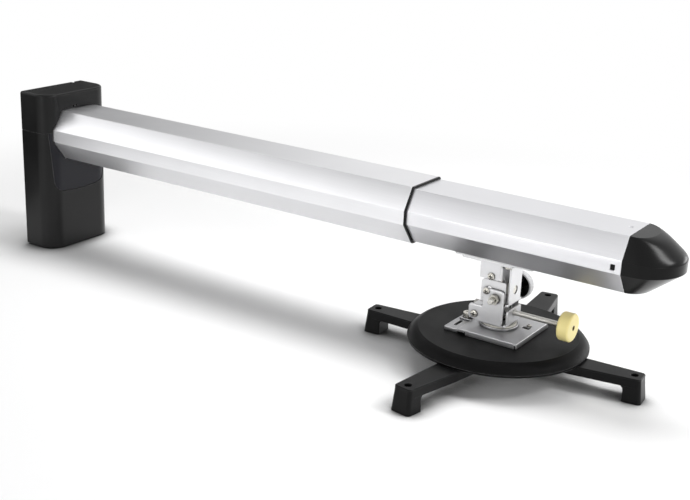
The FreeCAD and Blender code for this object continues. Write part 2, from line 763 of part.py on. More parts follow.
def nose_block(x0, inset):
    """Nose of the cap: an upright band with a rounded crown above it and a keel below."""
    corners = arm_corners(INNER_INSET)
    lift = inset * 0.9
    crest = (corners[3][0], corners[3][1] - lift)
    keel = (corners[0][0], corners[0][1] + lift)
    sections = []
    halves = ((CAP_CROWN, corners[2], crest, CAP_BAND_HIGH), (CAP_KEEL, corners[1], keel, CAP_BAND_LOW))
    for rows, edge, end, level in halves:
        rings = [cap_section(0, CAP_REACH, CAP_RUN, level, x0, edge, end, inset)]
        for share, reach, run, z_nose in rows:
            z = z_nose - lift * share if z_nose > 0 else z_nose + lift * share
            rings.append(cap_section(share, reach, run, z, x0, edge, end, inset))
        sections.append(rings)
    upper, lower = sections
    band = Part.makeLoft([lower[0], upper[0]], True, True)
    return band.fuse(Part.makeLoft(upper, True, False)).fuse(Part.makeLoft(lower, True, False))


def make_end_cap():
    """Moulded nose that plugs into the inner tube."""
    shell = nose_block(INNER_END, 0).cut(nose_block(INNER_END - 0.5, CAP_SHELL))
    skirt_out = INNER_INSET + INNER_WALL + 0.1
    skirt = arm_prism(skirt_out, INNER_END - CAP_SKIRT, INNER_END + 2.5, 0.6)
    skirt = skirt.cut(arm_prism(skirt_out + CAP_SKIRT_WALL, INNER_END - CAP_SKIRT - 1, INNER_END + 3, 0.6))
    clips = clip_block(CLIP_SLACK, 0.6)
    return shell.fuse(skirt).fuse(clips)


def rail_bolt_spots():
    """Places along and across of the bolts that carry the head."""
    pairs = ((RAIL_BOLT_BACK, RAIL_BOLT_BACK_Y), (RAIL_BOLT_FRONT, RAIL_BOLT_FRONT_Y))
    return [(HEAD_X + x, sign * y) for x, y in pairs for sign in (-1, 1)]


def make_rail_plate():
    """Steel strip under the inner tube."""
    strip = rectangle(HEAD_X + RAIL_BACK, HEAD_X + RAIL_FRONT, -RAIL_HALF_WIDTH, RAIL_HALF_WIDTH, 4.0)
    plate = slab(strip, "z", RAIL_UNDERSIDE, INNER_UNDERSIDE)
    for spot in rail_bolt_spots():
        plate = plate.cut(rod(V(*spot, RAIL_UNDERSIDE - 1), V(*spot, INNER_UNDERSIDE + 1), 2.0))
    return plate


def make_backing_plate():
    """Threaded steel plate inside the inner tube."""
    low = INNER_UNDERSIDE + INNER_WALL
    strip = rectangle(HEAD_X + BACKING_BACK, HEAD_X + BACKING_FRONT, -BACKING_HALF_WIDTH, BACKING_HALF_WIDTH)
    plate = slab(strip, "z", low, low + BACKING_THICK)
    for spot in rail_bolt_spots():
        plate = plate.cut(rod(V(*spot, low - 1), V(*spot, low + BACKING_THICK + 1), 2.0))
    return plate


def make_rail_bolts():
    """Hex bolts up through the bracket, rail and tube."""
    seat = RAIL_UNDERSIDE - SHEET
    length = SHEET + RAIL_THICK + INNER_WALL + BACKING_THICK
    bolts = [hex_bolt(V(*spot, seat), V(0, 0, -1), 7.0, 2.5, 2.0, length) for spot in rail_bolt_spots()]
    return Part.makeCompound(bolts)


def upper_flange(back, front, low, web_low, top):
    """Side of the upper bracket, which runs on below the web."""
    edge = front - UPPER_BEND / 3
    bend = front - UPPER_BEND
    step = web_low - UPPER_RELIEF
    return [(back, low, 1.0), (edge, low, UPPER_FLANGE_CORNER), (edge, step, UPPER_RELIEF),
            (bend, step, 0), (bend, top, 0), (back, top, 0)]


def make_upper_bracket():
    """Folded bracket under the rail, with a tongue for the roll pivot."""
    back = HEAD_X + UPPER_BACK
    front = TONGUE_X
    top = RAIL_UNDERSIDE
    side = UPPER_HALF_WIDTH
    inside = side - SHEET
    bore = UPPER_BEND - SHEET
    low = top - UPPER_DROP
    web_low = top - UPPER_WEB_DROP
    plan = [(back, -side, 0), (front, -side, UPPER_BEND), (front, side, UPPER_BEND), (back, side, 0)]
    hollow = [(back - 1, -inside, 0), (front - SHEET, -inside, bore)]
    hollow += [(front - SHEET, inside, bore), (back - 1, inside, 0)]
    cup = slab(plan, "z", web_low, top).cut(slab(hollow, "z", web_low - 1, top - SHEET))
    flange = upper_flange(back, front, low, web_low, top)
    for sign in (-1, 1):
        cup = cup.fuse(slab(flange, "y", *sorted((sign * side, sign * inside))))
    tongue_low = ROLL_Z - TONGUE_BELOW_AXIS
    width = TONGUE_HALF_WIDTH
    tongue = [(-width, tongue_low, 5.0), (width, tongue_low, 5.0)]
    tongue += [(width, web_low + 2, 0), (-width, web_low + 2, 0)]
    cup = cup.fuse(slab(tongue, "x", front - SHEET, front))
    wing = RAIL_HALF_WIDTH
    ears = rectangle(HEAD_X + UPPER_TOP_BACK, HEAD_X + UPPER_TOP_FRONT, -wing, wing, 4.0)
    cup = cup.fuse(slab(ears, "z", top - SHEET, top))
    for spot in rail_bolt_spots():
        cup = cup.cut(rod(V(*spot, top - SHEET - 1), V(*spot, top + 1), 2.0))
    screw_x = HEAD_X + SPACER_X
    cup = cup.cut(rod(V(screw_x, -side - 1, SPACER_Z), V(screw_x, side + 1, SPACER_Z), 2.0))
    pivot = ROLL_SHANK_RADIUS + RUNNING_GAP
    cup = cup.cut(rod(V(front - SHEET - 1, 0, ROLL_Z), V(front + 1, 0, ROLL_Z), pivot))
    return cup.removeSplitter()


def make_bracket_spacer():
    """Round spacer that ties the sides of the upper bracket."""
    x = HEAD_X + SPACER_X
    half = UPPER_HALF_WIDTH - SHEET
    spacer = rod(V(x, -half, SPACER_Z), V(x, half, SPACER_Z), SPACER_RADIUS)
    for sign in (-1, 1):
        spacer = spacer.cut(rod(V(x, sign * (half + 1), SPACER_Z), V(x, sign * (half - 8), SPACER_Z), 2.0))
    return spacer


def make_bracket_screws():
    """Screws into both ends of the spacer."""
    x = HEAD_X + SPACER_X
    side = UPPER_HALF_WIDTH
    screws = [pan_screw(V(x, s * side, SPACER_Z), V(0, s, 0), 3.9, 2.4, 2.0, SHEET + 7) for s in (-1, 1)]
    return Part.makeCompound(screws)


def make_roll_stud():
    """Stud riveted flush into the yoke, on which the yoke rolls in the tongue."""
    face = WEB_BACK_X + SHEET - ROLL_RECESS
    head = rod(V(WEB_BACK_X, 0, ROLL_Z), V(face, 0, ROLL_Z), ROLL_PIN_RADIUS)
    flange = rod(V(WEB_BACK_X - ROLL_FLANGE, 0, ROLL_Z), V(WEB_BACK_X, 0, ROLL_Z), ROLL_FLANGE_RADIUS)
    tail = TONGUE_X - SHEET - SIDE_GAP - ROLL_NUT_THICK - 0.5
    return head.fuse(flange).fuse(rod(V(tail, 0, ROLL_Z), V(WEB_BACK_X, 0, ROLL_Z), ROLL_SHANK_RADIUS))


def make_roll_washer():
    """Thick nylon washer between the tongue and the flange of the stud."""
    start = V(TONGUE_X + SIDE_GAP, 0, ROLL_Z)
    end = V(WEB_BACK_X - ROLL_FLANGE, 0, ROLL_Z)
    return rod(start, end, ROLL_WASHER_RADIUS).cut(rod(start, end, ROLL_SHANK_RADIUS))


def make_roll_nut():
    """Lock nut behind the tongue."""
    high = TONGUE_X - SHEET - SIDE_GAP
    low = high - ROLL_NUT_THICK
    nut = hexagon("x", 0, ROLL_Z, ROLL_NUT_AF, low, high)
    return nut.cut(rod(V(low - 1, 0, ROLL_Z), V(high + 1, 0, ROLL_Z), ROLL_SHANK_RADIUS))


def stop_angle():
    """Direction of the stop screw from the tilt pivot, in degrees."""
    return math.degrees(math.atan2(STOP_Z - TILT_Z, STOP_X - TILT_X))


def stop_radius():
    """Distance of the stop screw from the tilt pivot."""
    return math.hypot(STOP_Z - TILT_Z, STOP_X - TILT_X)


def arc_slot(low, high):
    """Curved slot round the tilt pivot in which the stop screw travels."""
    radius = stop_radius()
    width = 2.25
    pivot = V(HEAD_X + TILT_X, low, TILT_Z)
    thick = high - low
    ring = Part.makeCylinder(radius + width, thick, pivot, V(0, 1, 0))
    ring = ring.cut(Part.makeCylinder(radius - width, thick, pivot, V(0, 1, 0)))
    spread = math.radians(TILT_LIMIT + STOP_SLOT_SPARE)
    middle = math.radians(stop_angle())
    ends = []
    reach = radius * 2
    corners = [(HEAD_X + TILT_X, TILT_Z, 0)]
    for sign in (-1, 1):
        angle = middle + sign * spread
        along = (math.cos(angle), math.sin(angle))
        corners.append((HEAD_X + TILT_X + reach * along[0], TILT_Z + reach * along[1], 0))
        spot = V(HEAD_X + TILT_X + radius * along[0], low, TILT_Z + radius * along[1])
        ends.append(Part.makeCylinder(width, thick, spot, V(0, 1, 0)))
    return ring.common(slab(corners, "y", low, high)).fuse(ends[0]).fuse(ends[1])


def folded_end(side, half, low, top, round_off):
    """Upright end of a folded bracket: as wide as its floor at the fold, narrower above."""
    step = low + FOLD_STEP
    return [(-side, low, 0), (side, low, 0), (side, step, 1.0), (half, step, 0), (half, top, round_off),
            (-half, top, round_off), (-half, step, 0), (-side, step, 1.0)]


def round_folds(body, side, front, low):
    """Outside radius of the folds along a bracket's floor."""
    def chosen(edge):
        middle = edge.CenterOfMass
        if abs(middle.z - low) > 0.01:
            return False
        along = runs_along(edge, V(1, 0, 0)) and abs(abs(middle.y) - side) < 0.01
        across = runs_along(edge, V(0, 1, 0)) and abs(middle.x - front) < 0.01
        return along or across
    return round_edges(body, FOLD_RADIUS, chosen)


def make_middle_yoke():
    """Folded yoke between the roll and tilt joints."""
    back = HEAD_X + YOKE_BACK
    side = YOKE_HALF_WIDTH
    flange_front = HEAD_X + YOKE_FLANGE_FRONT
    front = WEB_BACK_X + SHEET
    floor = YOKE_FLOOR
    yoke = box(back, front, -side, side, floor, floor + SHEET)
    flange = [(back, floor, 0), (flange_front, floor, 0), (flange_front, YOKE_TOP, 2.0), (back, YOKE_TOP, 4.0)]
    for sign in (-1, 1):
        levels = sorted((sign * side, sign * (side - SHEET)))
        yoke = yoke.fuse(slab(flange, "y", *levels))
    web = folded_end(side, YOKE_WEB_HALF_WIDTH, floor, YOKE_WEB_TOP, YOKE_WEB_CORNER)
    yoke = yoke.fuse(slab(web, "x", WEB_BACK_X, front)).removeSplitter()
    yoke = round_folds(yoke, side, front, floor)
    pivot_x = HEAD_X + TILT_X
    lug_low = TILT_Z - LUG_DEPTH
    lug = [(pivot_x - LUG_HALF_WIDTH, lug_low, 2.0), (pivot_x + LUG_HALF_WIDTH, lug_low, 2.0),
           (pivot_x + LUG_HALF_WIDTH, floor + 1, 0), (pivot_x - LUG_HALF_WIDTH, floor + 1, 0)]
    slot_half = NUT_PIN_RADIUS + NUT_PIN_GAP
    slot_top = ROD_Z + NUT_PIN_RADIUS + 0.5
    slot = [(pivot_x - slot_half, lug_low - 1, 0), (pivot_x + slot_half, lug_low - 1, 0),
            (pivot_x + slot_half, slot_top, 1.5), (pivot_x - slot_half, slot_top, 1.5)]
    for sign in (-1, 1):
        levels = sorted((sign * LUG_INSIDE, sign * (LUG_INSIDE + SHEET)))
        yoke = yoke.fuse(slab(lug, "y", *levels).cut(slab(slot, "y", levels[0] - 1, levels[1] + 1)))
        yoke = yoke.cut(arc_slot(*sorted((sign * (side - SHEET - 1), sign * (side + 1)))))
    pivot = TILT_SHANK_RADIUS + RUNNING_GAP
    yoke = yoke.cut(rod(V(pivot_x, -side - 1, TILT_Z), V(pivot_x, side + 1, TILT_Z), pivot))
    return yoke.cut(rod(V(WEB_BACK_X - 1, 0, ROLL_Z), V(front + 1, 0, ROLL_Z), ROLL_PIN_RADIUS)).removeSplitter()


def make_lower_bracket():
    """Folded bracket that tilts: a base, two sides with ears, and an end tab."""
    back = HEAD_X + LOWER_BACK
    front = HEAD_X + LOWER_FRONT
    side = LOWER_HALF_WIDTH
    base = LOWER_BASE
    end = HEAD_X + END_TAB_BACK
    body = box(back, end + SHEET, -side, side, base, base + SHEET)
    ear = HEAD_X + SIDE_TAB_BACK
    flange = [(back - 4, base, 2.0), (front, base, 0), (front, LOWER_TOP, 4.5), (back, LOWER_TOP, 3.0),
              (back, SIDE_TAB_TOP, 1.0), (ear, SIDE_TAB_TOP, 4.5), (ear, base + 3, 3.0)]
    for sign in (-1, 1):
        body = body.fuse(slab(flange, "y", *sorted((sign * side, sign * (side - SHEET)))))
    tab = folded_end(side, END_TAB_HALF_WIDTH, base, END_TAB_TOP, 4.0)
    body = body.fuse(slab(tab, "x", end, end + SHEET)).removeSplitter()
    body = round_folds(body, side, end + SHEET, base)
    pivot = V(HEAD_X + TILT_X, 0, TILT_Z)
    body = body.cut(rod(pivot - V(0, side + 1, 0), pivot + V(0, side + 1, 0), TILT_SHANK_RADIUS + RUNNING_GAP))
    stop = V(HEAD_X + STOP_X, 0, STOP_Z)
    body = body.cut(rod(stop - V(0, side + 1, 0), stop + V(0, side + 1, 0), 2.0))
    tab_screw = V(HEAD_X + TAB_SCREW_X, 0, TAB_SCREW_Z)
    body = body.cut(rod(tab_screw - V(0, side + 1, 0), tab_screw + V(0, side + 1, 0), 2.0))
    body = body.cut(rod(V(end - 1, 0, ROD_Z), V(end + SHEET + 1, 0, ROD_Z), ROD_RADIUS + RUNNING_GAP))
    shank = SWIVEL_SHANK_RADIUS + RUNNING_GAP
    return body.cut(rod(V(HEAD_X, 0, base - 1), V(HEAD_X, 0, base + SHEET + 1), shank)).removeSplitter()


def make_tilt_washers():
    """Nylon washers between the yoke and the lower bracket."""
    pivot_x = HEAD_X + TILT_X
    washers = []
    for sign in (-1, 1):
        start = V(pivot_x, sign * YOKE_HALF_WIDTH, TILT_Z)
        end = V(pivot_x, sign * (YOKE_HALF_WIDTH + TILT_WASHER), TILT_Z)
        washers.append(rod(start, end, 7.0).cut(rod(start, end, TILT_SHANK_RADIUS + RUNNING_GAP)))
    return Part.makeCompound(washers)


def make_tilt_lock_nut():
    """Hex nut on the near end of the tilt stud."""
    x = HEAD_X + TILT_X
    side = LOWER_HALF_WIDTH
    nut = hexagon("y", x, TILT_Z, LOCK_NUT_AF, -side - LOCK_NUT_THICK, -side)
    return nut.cut(rod(V(x, -side - 10, TILT_Z), V(x, -side + 1, TILT_Z), TILT_SHANK_RADIUS + RUNNING_GAP))


def make_stop_screws():
    """Screws that travel in the curved slots of the yoke and limit the tilt."""
    side = LOWER_HALF_WIDTH
    spot = V(HEAD_X + STOP_X, 0, STOP_Z)
    length = side - YOKE_HALF_WIDTH + SHEET + 1
    screws = [pan_screw(spot + V(0, s * side, 0), V(0, s, 0), 3.7, 2.2, 2.0, length)
              for s in (-1, 1)]
    return Part.makeCompound(screws)


def make_rod_block():
    """Steel block between the ears, in which the tilt screw turns."""
    x = HEAD_X + TAB_SCREW_X
    half = LOWER_HALF_WIDTH - SHEET
    block = box(x - ROD_BLOCK_HALF_X, x + ROD_BLOCK_HALF_X, -half, half, ROD_BLOCK_BOTTOM, ROD_BLOCK_TOP)
    block = round_edges(block, 1.2, lambda e: runs_along(e, V(0, 1, 0)))
    block = block.cut(rod(V(x - 9, 0, ROD_Z), V(x + 9, 0, ROD_Z), ROD_RADIUS + RUNNING_GAP))
    for sign in (-1, 1):
        start = V(x, sign * (half + 1), TAB_SCREW_Z)
        block = block.cut(rod(start, V(x, sign * (half - 9), TAB_SCREW_Z), 2.0))
    return block


def make_tab_screws():
    """Screws that hold the block between the ears."""
    side = LOWER_HALF_WIDTH
    spot = V(HEAD_X + TAB_SCREW_X, 0, TAB_SCREW_Z)
    screws = [pan_screw(spot + V(0, s * side, 0), V(0, s, 0), 3.9, 2.4, 2.0, SHEET + 8) for s in (-1, 1)]
    return Part.makeCompound(screws)


def make_tilt_nut():
    """Travelling nut on the tilt screw, with a cross pin in the slots of the yoke."""
    x = HEAD_X + TILT_X
    low = ROD_Z - NUT_HALF_Z
    block = box(x - NUT_HALF_X, x + NUT_HALF_X, -NUT_HALF_Y, NUT_HALF_Y, low, low + 2 * NUT_HALF_Z)
    pin = rod(V(x, -NUT_PIN_REACH, ROD_Z), V(x, NUT_PIN_REACH, ROD_Z), NUT_PIN_RADIUS)
    bore = rod(V(x - 9, 0, ROD_Z), V(x + 9, 0, ROD_Z), ROD_RADIUS + RUNNING_GAP)
    return block.fuse(pin).cut(bore)


def make_tilt_rod():
    """Threaded rod of the tilt adjustment, with a collar each side of the block."""
    start = HEAD_X + ROD_TAIL
    end = HEAD_X + KNOB_BACK + 8
    shaft = rod(V(start, 0, ROD_Z), V(end, 0, ROD_Z), ROD_RADIUS)
    block_x = HEAD_X + TAB_SCREW_X
    shoulder = ROD_BLOCK_HALF_X + 0.1
    for low, high in ((start, block_x - shoulder), (block_x + shoulder, block_x + 8)):
        shaft = shaft.fuse(rod(V(low + 1 if low == start else low, 0, ROD_Z), V(high, 0, ROD_Z), 4.2))
    return shaft.removeSplitter()


def fluted_disc(radius, thick, flutes, flute_radius, bite, edge):
    """Round knob blank along +Z with rounded edges and flutes round its rim."""
    blank = Part.makeCylinder(radius, thick)
    blank = round_edges(blank, edge, lambda e: e.Curve.TypeId == "Part::GeomCircle")
    cuts = []
    for i in range(flutes):
        angle = 2 * math.pi * i / flutes
        reach = radius + flute_radius - bite
        spot = V(reach * math.cos(angle), reach * math.sin(angle), -1)
        cuts.append(Part.makeCylinder(flute_radius, thick + 2, spot))
    return blank.cut(Part.makeCompound(cuts))


def make_tilt_knob():
    """Ivory hand knob on the tilt screw: a plain thick disc with rounded edges."""
    knob = Part.makeCylinder(KNOB_RADIUS, KNOB_THICK)
    knob = round_edges(knob, KNOB_EDGE, lambda e: e.Curve.TypeId == "Part::GeomCircle")
    floor = V(0, 0, KNOB_THICK - KNOB_HOLE_DEPTH)
    knob = knob.cut(Part.makeCylinder(KNOB_HOLE_RADIUS, KNOB_HOLE_DEPTH, floor))
    knob = knob.cut(Part.makeCylinder(ROD_RADIUS, KNOB_THICK - KNOB_HOLE_DEPTH - 1.5))
    return facing(knob, V(HEAD_X + KNOB_BACK, 0, ROD_Z), V(1, 0, 0))


def make_tilt_lock_stud():
    """Long stud of the tilt lock, moulded into its knob."""
    x = HEAD_X + TILT_X
    start = V(x, -LOCK_STUD_END, TILT_Z)
    end = V(x, LOCK_KNOB_START + 6, TILT_Z)
    stud = rod(start, end, TILT_SHANK_RADIUS)
    return stud.makeChamfer(0.6, [e for e in stud.Edges if e.CenterOfMass.y < -LOCK_STUD_END + 0.01
                                  and e.Curve.TypeId == "Part::GeomCircle"])


def make_tilt_lock_knob():
    """Black hand knob, hollow towards the bracket with spokes inside its rim."""
    blank = fluted_disc(LOCK_KNOB_RADIUS, LOCK_KNOB_THICK, 28, 1.3, 0.35, 1.0)
    rim = LOCK_KNOB_RADIUS - 2.6
    blank = blank.cut(Part.makeCylinder(rim, LOCK_KNOB_THICK - 2.2))
    reach = LOCK_KNOB_START - LOWER_HALF_WIDTH
    hub = Part.makeCylinder(LOCK_HUB_RADIUS, reach + LOCK_KNOB_THICK - 2, V(0, 0, -reach + 0.1))
    knob = blank.fuse(hub)
    for i in range(LOCK_SPOKES):
        spoke = box(LOCK_HUB_RADIUS - 1, rim + 0.5, -0.8, 0.8, 1.2, LOCK_KNOB_THICK - 2)
        spoke.rotate(V(), V(0, 0, 1), 360.0 * i / LOCK_SPOKES)
        knob = knob.fuse(spoke)
    knob = knob.cut(Part.makeCylinder(TILT_SHANK_RADIUS, reach + 6, V(0, 0, -reach)))
    return facing(knob, V(HEAD_X + TILT_X, LOCK_KNOB_START, TILT_Z), V(0, 1, 0)).removeSplitter()


SLIDE_UNDERSIDE = SLIDE_TOP - SLIDE_SHEET
SWIVEL_STACK = LOWER_BASE - SLIDE_TOP


def make_swivel_washer():
    """Nylon washer on which the head turns."""
    low = V(HEAD_X, 0, LOWER_BASE - SWIVEL_WASHER_THICK)
    washer = Part.makeCylinder(SWIVEL_WASHER_RADIUS, SWIVEL_WASHER_THICK - 0.1, low)
    return washer.cut(Part.makeCylinder(SWIVEL_SHANK_RADIUS, 9, low - V(0, 0, 1)))


def make_turntable_disc():
    """Steel disc fixed on the slide plate."""
    thick = SWIVEL_STACK - SWIVEL_WASHER_THICK
    low = V(HEAD_X, 0, SLIDE_TOP)
    disc = Part.makeCylinder(TURNTABLE_RADIUS, thick, low)
    above = SLIDE_TOP + 1
    disc = round_edges(disc, 0.5, lambda e: e.Curve.TypeId == "Part::GeomCircle" and e.CenterOfMass.z > above)
    return disc.cut(Part.makeCylinder(SWIVEL_SHANK_RADIUS, 9, low - V(0, 0, 1)))


def make_swivel_bolt():
    """Low-head bolt of the swivel."""
    seat = LOWER_BASE + SHEET + 0.1
    length = seat - SLIDE_UNDERSIDE + 2.0
    return hex_bolt(V(HEAD_X, 0, seat), V(0, 0, 1), 13.0, 3.6, SWIVEL_SHANK_RADIUS, length)


def make_swivel_nut():
    """Thin nut under the slide plate."""
    low = V(HEAD_X, 0, SLIDE_UNDERSIDE - 2.0)
    return Part.makeCylinder(9.5, 2.0, low).cut(Part.makeCylinder(SWIVEL_SHANK_RADIUS, 4, low - V(0, 0, 1)))


def make_slide_plate():
    """Quick-release plate with a folded front and folded skirts that hook under the receiver."""
    back = HEAD_X + SLIDE_BACK
    front = HEAD_X + SLIDE_FRONT
    side = SLIDE_HALF_WIDTH
    tab = SLIDE_TAB_HALF_WIDTH
    tab_back = HEAD_X + SLIDE_TAB_BACK
    plan = [(back, -side, 1.5), (front, -side, 1.0), (front, side, 1.0), (back, side, 1.5),
            (back, tab, 1.5), (tab_back, tab, 3.0), (tab_back, -tab, 3.0), (back, -tab, 1.5)]
    plate = slab(plan, "z", SLIDE_UNDERSIDE, SLIDE_TOP)
    low = DISC_TOP + SLIDE_GAP
    skirt_back = HEAD_X + SLIDE_SKIRT_BACK
    plate = plate.fuse(box(front - SLIDE_SHEET, front, -side + 1, side - 1, low, SLIDE_TOP - 0.5))
    for sign in (-1, 1):
        levels = sorted((sign * side, sign * (side - SLIDE_SHEET)))
        lip = sorted((sign * side, sign * (side - SLIDE_LIP)))
        plate = plate.fuse(box(skirt_back, front - 3.0, *levels, low, SLIDE_TOP - 0.5))
        plate = plate.fuse(box(skirt_back, front - 3.0, *lip, low, low + SLIDE_LIP_THICK))
        plate = plate.fuse(box(back + 1.5, skirt_back - 1.5, *levels, SLIDE_UNDERSIDE - 1.2, SLIDE_TOP - 0.5))
    plate = round_edges(plate, 0.6, lambda e: runs_along(e, V(0, 1, 0)) and e.CenterOfMass.z > SLIDE_TOP - 0.01
                        and e.CenterOfMass.x > front - 0.01)
    x0, x1, y0, y1 = SLIDE_WINDOW
    window = rectangle(HEAD_X + x0, HEAD_X + x1, y0, y1, 1.0)
    plate = plate.cut(slab(window, "z", SLIDE_UNDERSIDE - 1, SLIDE_TOP + 1))
    holes = ((0, 0, SWIVEL_SHANK_RADIUS), (PLATE_SCREW_X, PLATE_SCREW_Y, PLATE_SCREW_RADIUS + RUNNING_GAP),
             (KEEPER_SCREW_X, KEEPER_SCREW_Y, KEEPER_RADIUS))
    for x, y, radius in holes:
        plate = plate.cut(Part.makeCylinder(radius, 5, V(HEAD_X + x, y, SLIDE_UNDERSIDE - 1)))
    return plate.removeSplitter()


def make_keeper_screw():
    """Small screw beside the window of the slide plate."""
    spot = V(HEAD_X + KEEPER_SCREW_X, KEEPER_SCREW_Y, SLIDE_TOP)
    return pan_screw(spot, V(0, 0, 1), 2.6, 2.2, KEEPER_RADIUS, SLIDE_SHEET + 0.6)


def make_plate_lock_screw():
    """Knurled thumb screw that locks the quick-release plates."""
    head = fluted_disc(6.0, 5.5, 12, 0.9, 0.35, 0.6)
    reach = SLIDE_TOP + 0.05 - PLATE_SCREW_END
    body = head.fuse(Part.makeCylinder(PLATE_SCREW_RADIUS, reach, V(0, 0, -reach)))
    body = body.cut(box(-3.5, 3.5, -0.6, 0.6, 4.3, 6))
    return facing(body, V(HEAD_X + PLATE_SCREW_X, PLATE_SCREW_Y, SLIDE_TOP + 0.05), V(0, 0, 1))


def receiver_screw_spots():
    """Places along and across of the screws that hold the receiver on the disc."""
    return [(HEAD_X + s * RECEIVER_SCREW_X, t * RECEIVER_SCREW_Y) for s in (-1, 1) for t in (-1, 1)]


def receiver_tray():
    """Raised back of the receiver, closed down to the disc on all four sides."""
    back = HEAD_X + RECEIVER_BACK
    front = HEAD_X + RECEIVER_TRAY_FRONT
    side = SLIDE_HALF_WIDTH - SLIDE_SHEET - SLIDE_GAP
    top = SLIDE_UNDERSIDE - SLIDE_GAP
    sheet = SLIDE_SHEET
    tray = slab(rectangle(back, front, -side, side, 1.5), "z", DISC_TOP, top)
    tray = round_edges(tray, 0.8, lambda e: e.CenterOfMass.z > top - 0.01)
    hollow = rectangle(back + sheet, front - sheet, sheet - side, side - sheet)
    tray = tray.cut(slab(hollow, "z", DISC_TOP - 1, top - sheet))
    x0, x1, y0, y1 = RECEIVER_SLOT
    slot = rectangle(HEAD_X + x0, HEAD_X + x1, y0, y1, (x1 - x0) / 2 - 0.01)
    return tray.cut(slab(slot, "z", top - sheet - 1, top + 1))


def make_receiver_plate():
    """Pressed plate on the disc, with raised wings that the slide plate hooks round."""
    back = HEAD_X + RECEIVER_TRAY_FRONT - 1.0
    front = HEAD_X + SLIDE_FRONT - SLIDE_SHEET - SLIDE_GAP
    inner = SLIDE_HALF_WIDTH - SLIDE_SHEET - SLIDE_GAP
    wing_top = SLIDE_UNDERSIDE - SLIDE_GAP
    wing_low = DISC_TOP + SLIDE_GAP + SLIDE_LIP_THICK + 0.5
    foot = RECEIVER_FOOT
    section = [(-foot, DISC_TOP), (foot, DISC_TOP), (foot, wing_low), (inner, wing_low), (inner, wing_top)]
    section += [(foot - SLIDE_SHEET, wing_top), (foot - SLIDE_SHEET, DISC_TOP + SLIDE_SHEET)]
    section += [(-foot + SLIDE_SHEET, DISC_TOP + SLIDE_SHEET), (-foot + SLIDE_SHEET, wing_top), (-inner, wing_top)]
    section += [(-inner, wing_low), (-foot, wing_low)]
    plate = slab(sharp(section), "x", back, front).fuse(receiver_tray())
    screw_x = HEAD_X + PLATE_SCREW_X
    start = screw_x - PLATE_SCREW_RADIUS - 0.5
    low = PLATE_SCREW_Y - RECEIVER_NOTCH
    high = PLATE_SCREW_Y + RECEIVER_NOTCH
    round_off = RECEIVER_NOTCH - 0.1
    notch = [(start, low, round_off), (back + 2, low, 0), (back + 2, high, 0), (start, high, round_off)]
    plate = plate.cut(slab(notch, "z", DISC_TOP + SLIDE_SHEET, wing_top + 1))
    for spot in receiver_screw_spots():
        plate = plate.cut(rod(V(*spot, DISC_TOP - 1), V(*spot, DISC_TOP + 4), 2.0))
    return plate.removeSplitter()


def make_receiver_screws():
    """Low screws through the receiver into the disc."""
    seat = DISC_TOP + SLIDE_SHEET
    up = V(0, 0, 1)
    screws = [pan_screw(V(*spot, seat), up, 3.4, 1.8, 2.0, SLIDE_SHEET + 7) for spot in receiver_screw_spots()]
    return Part.makeCompound(screws)


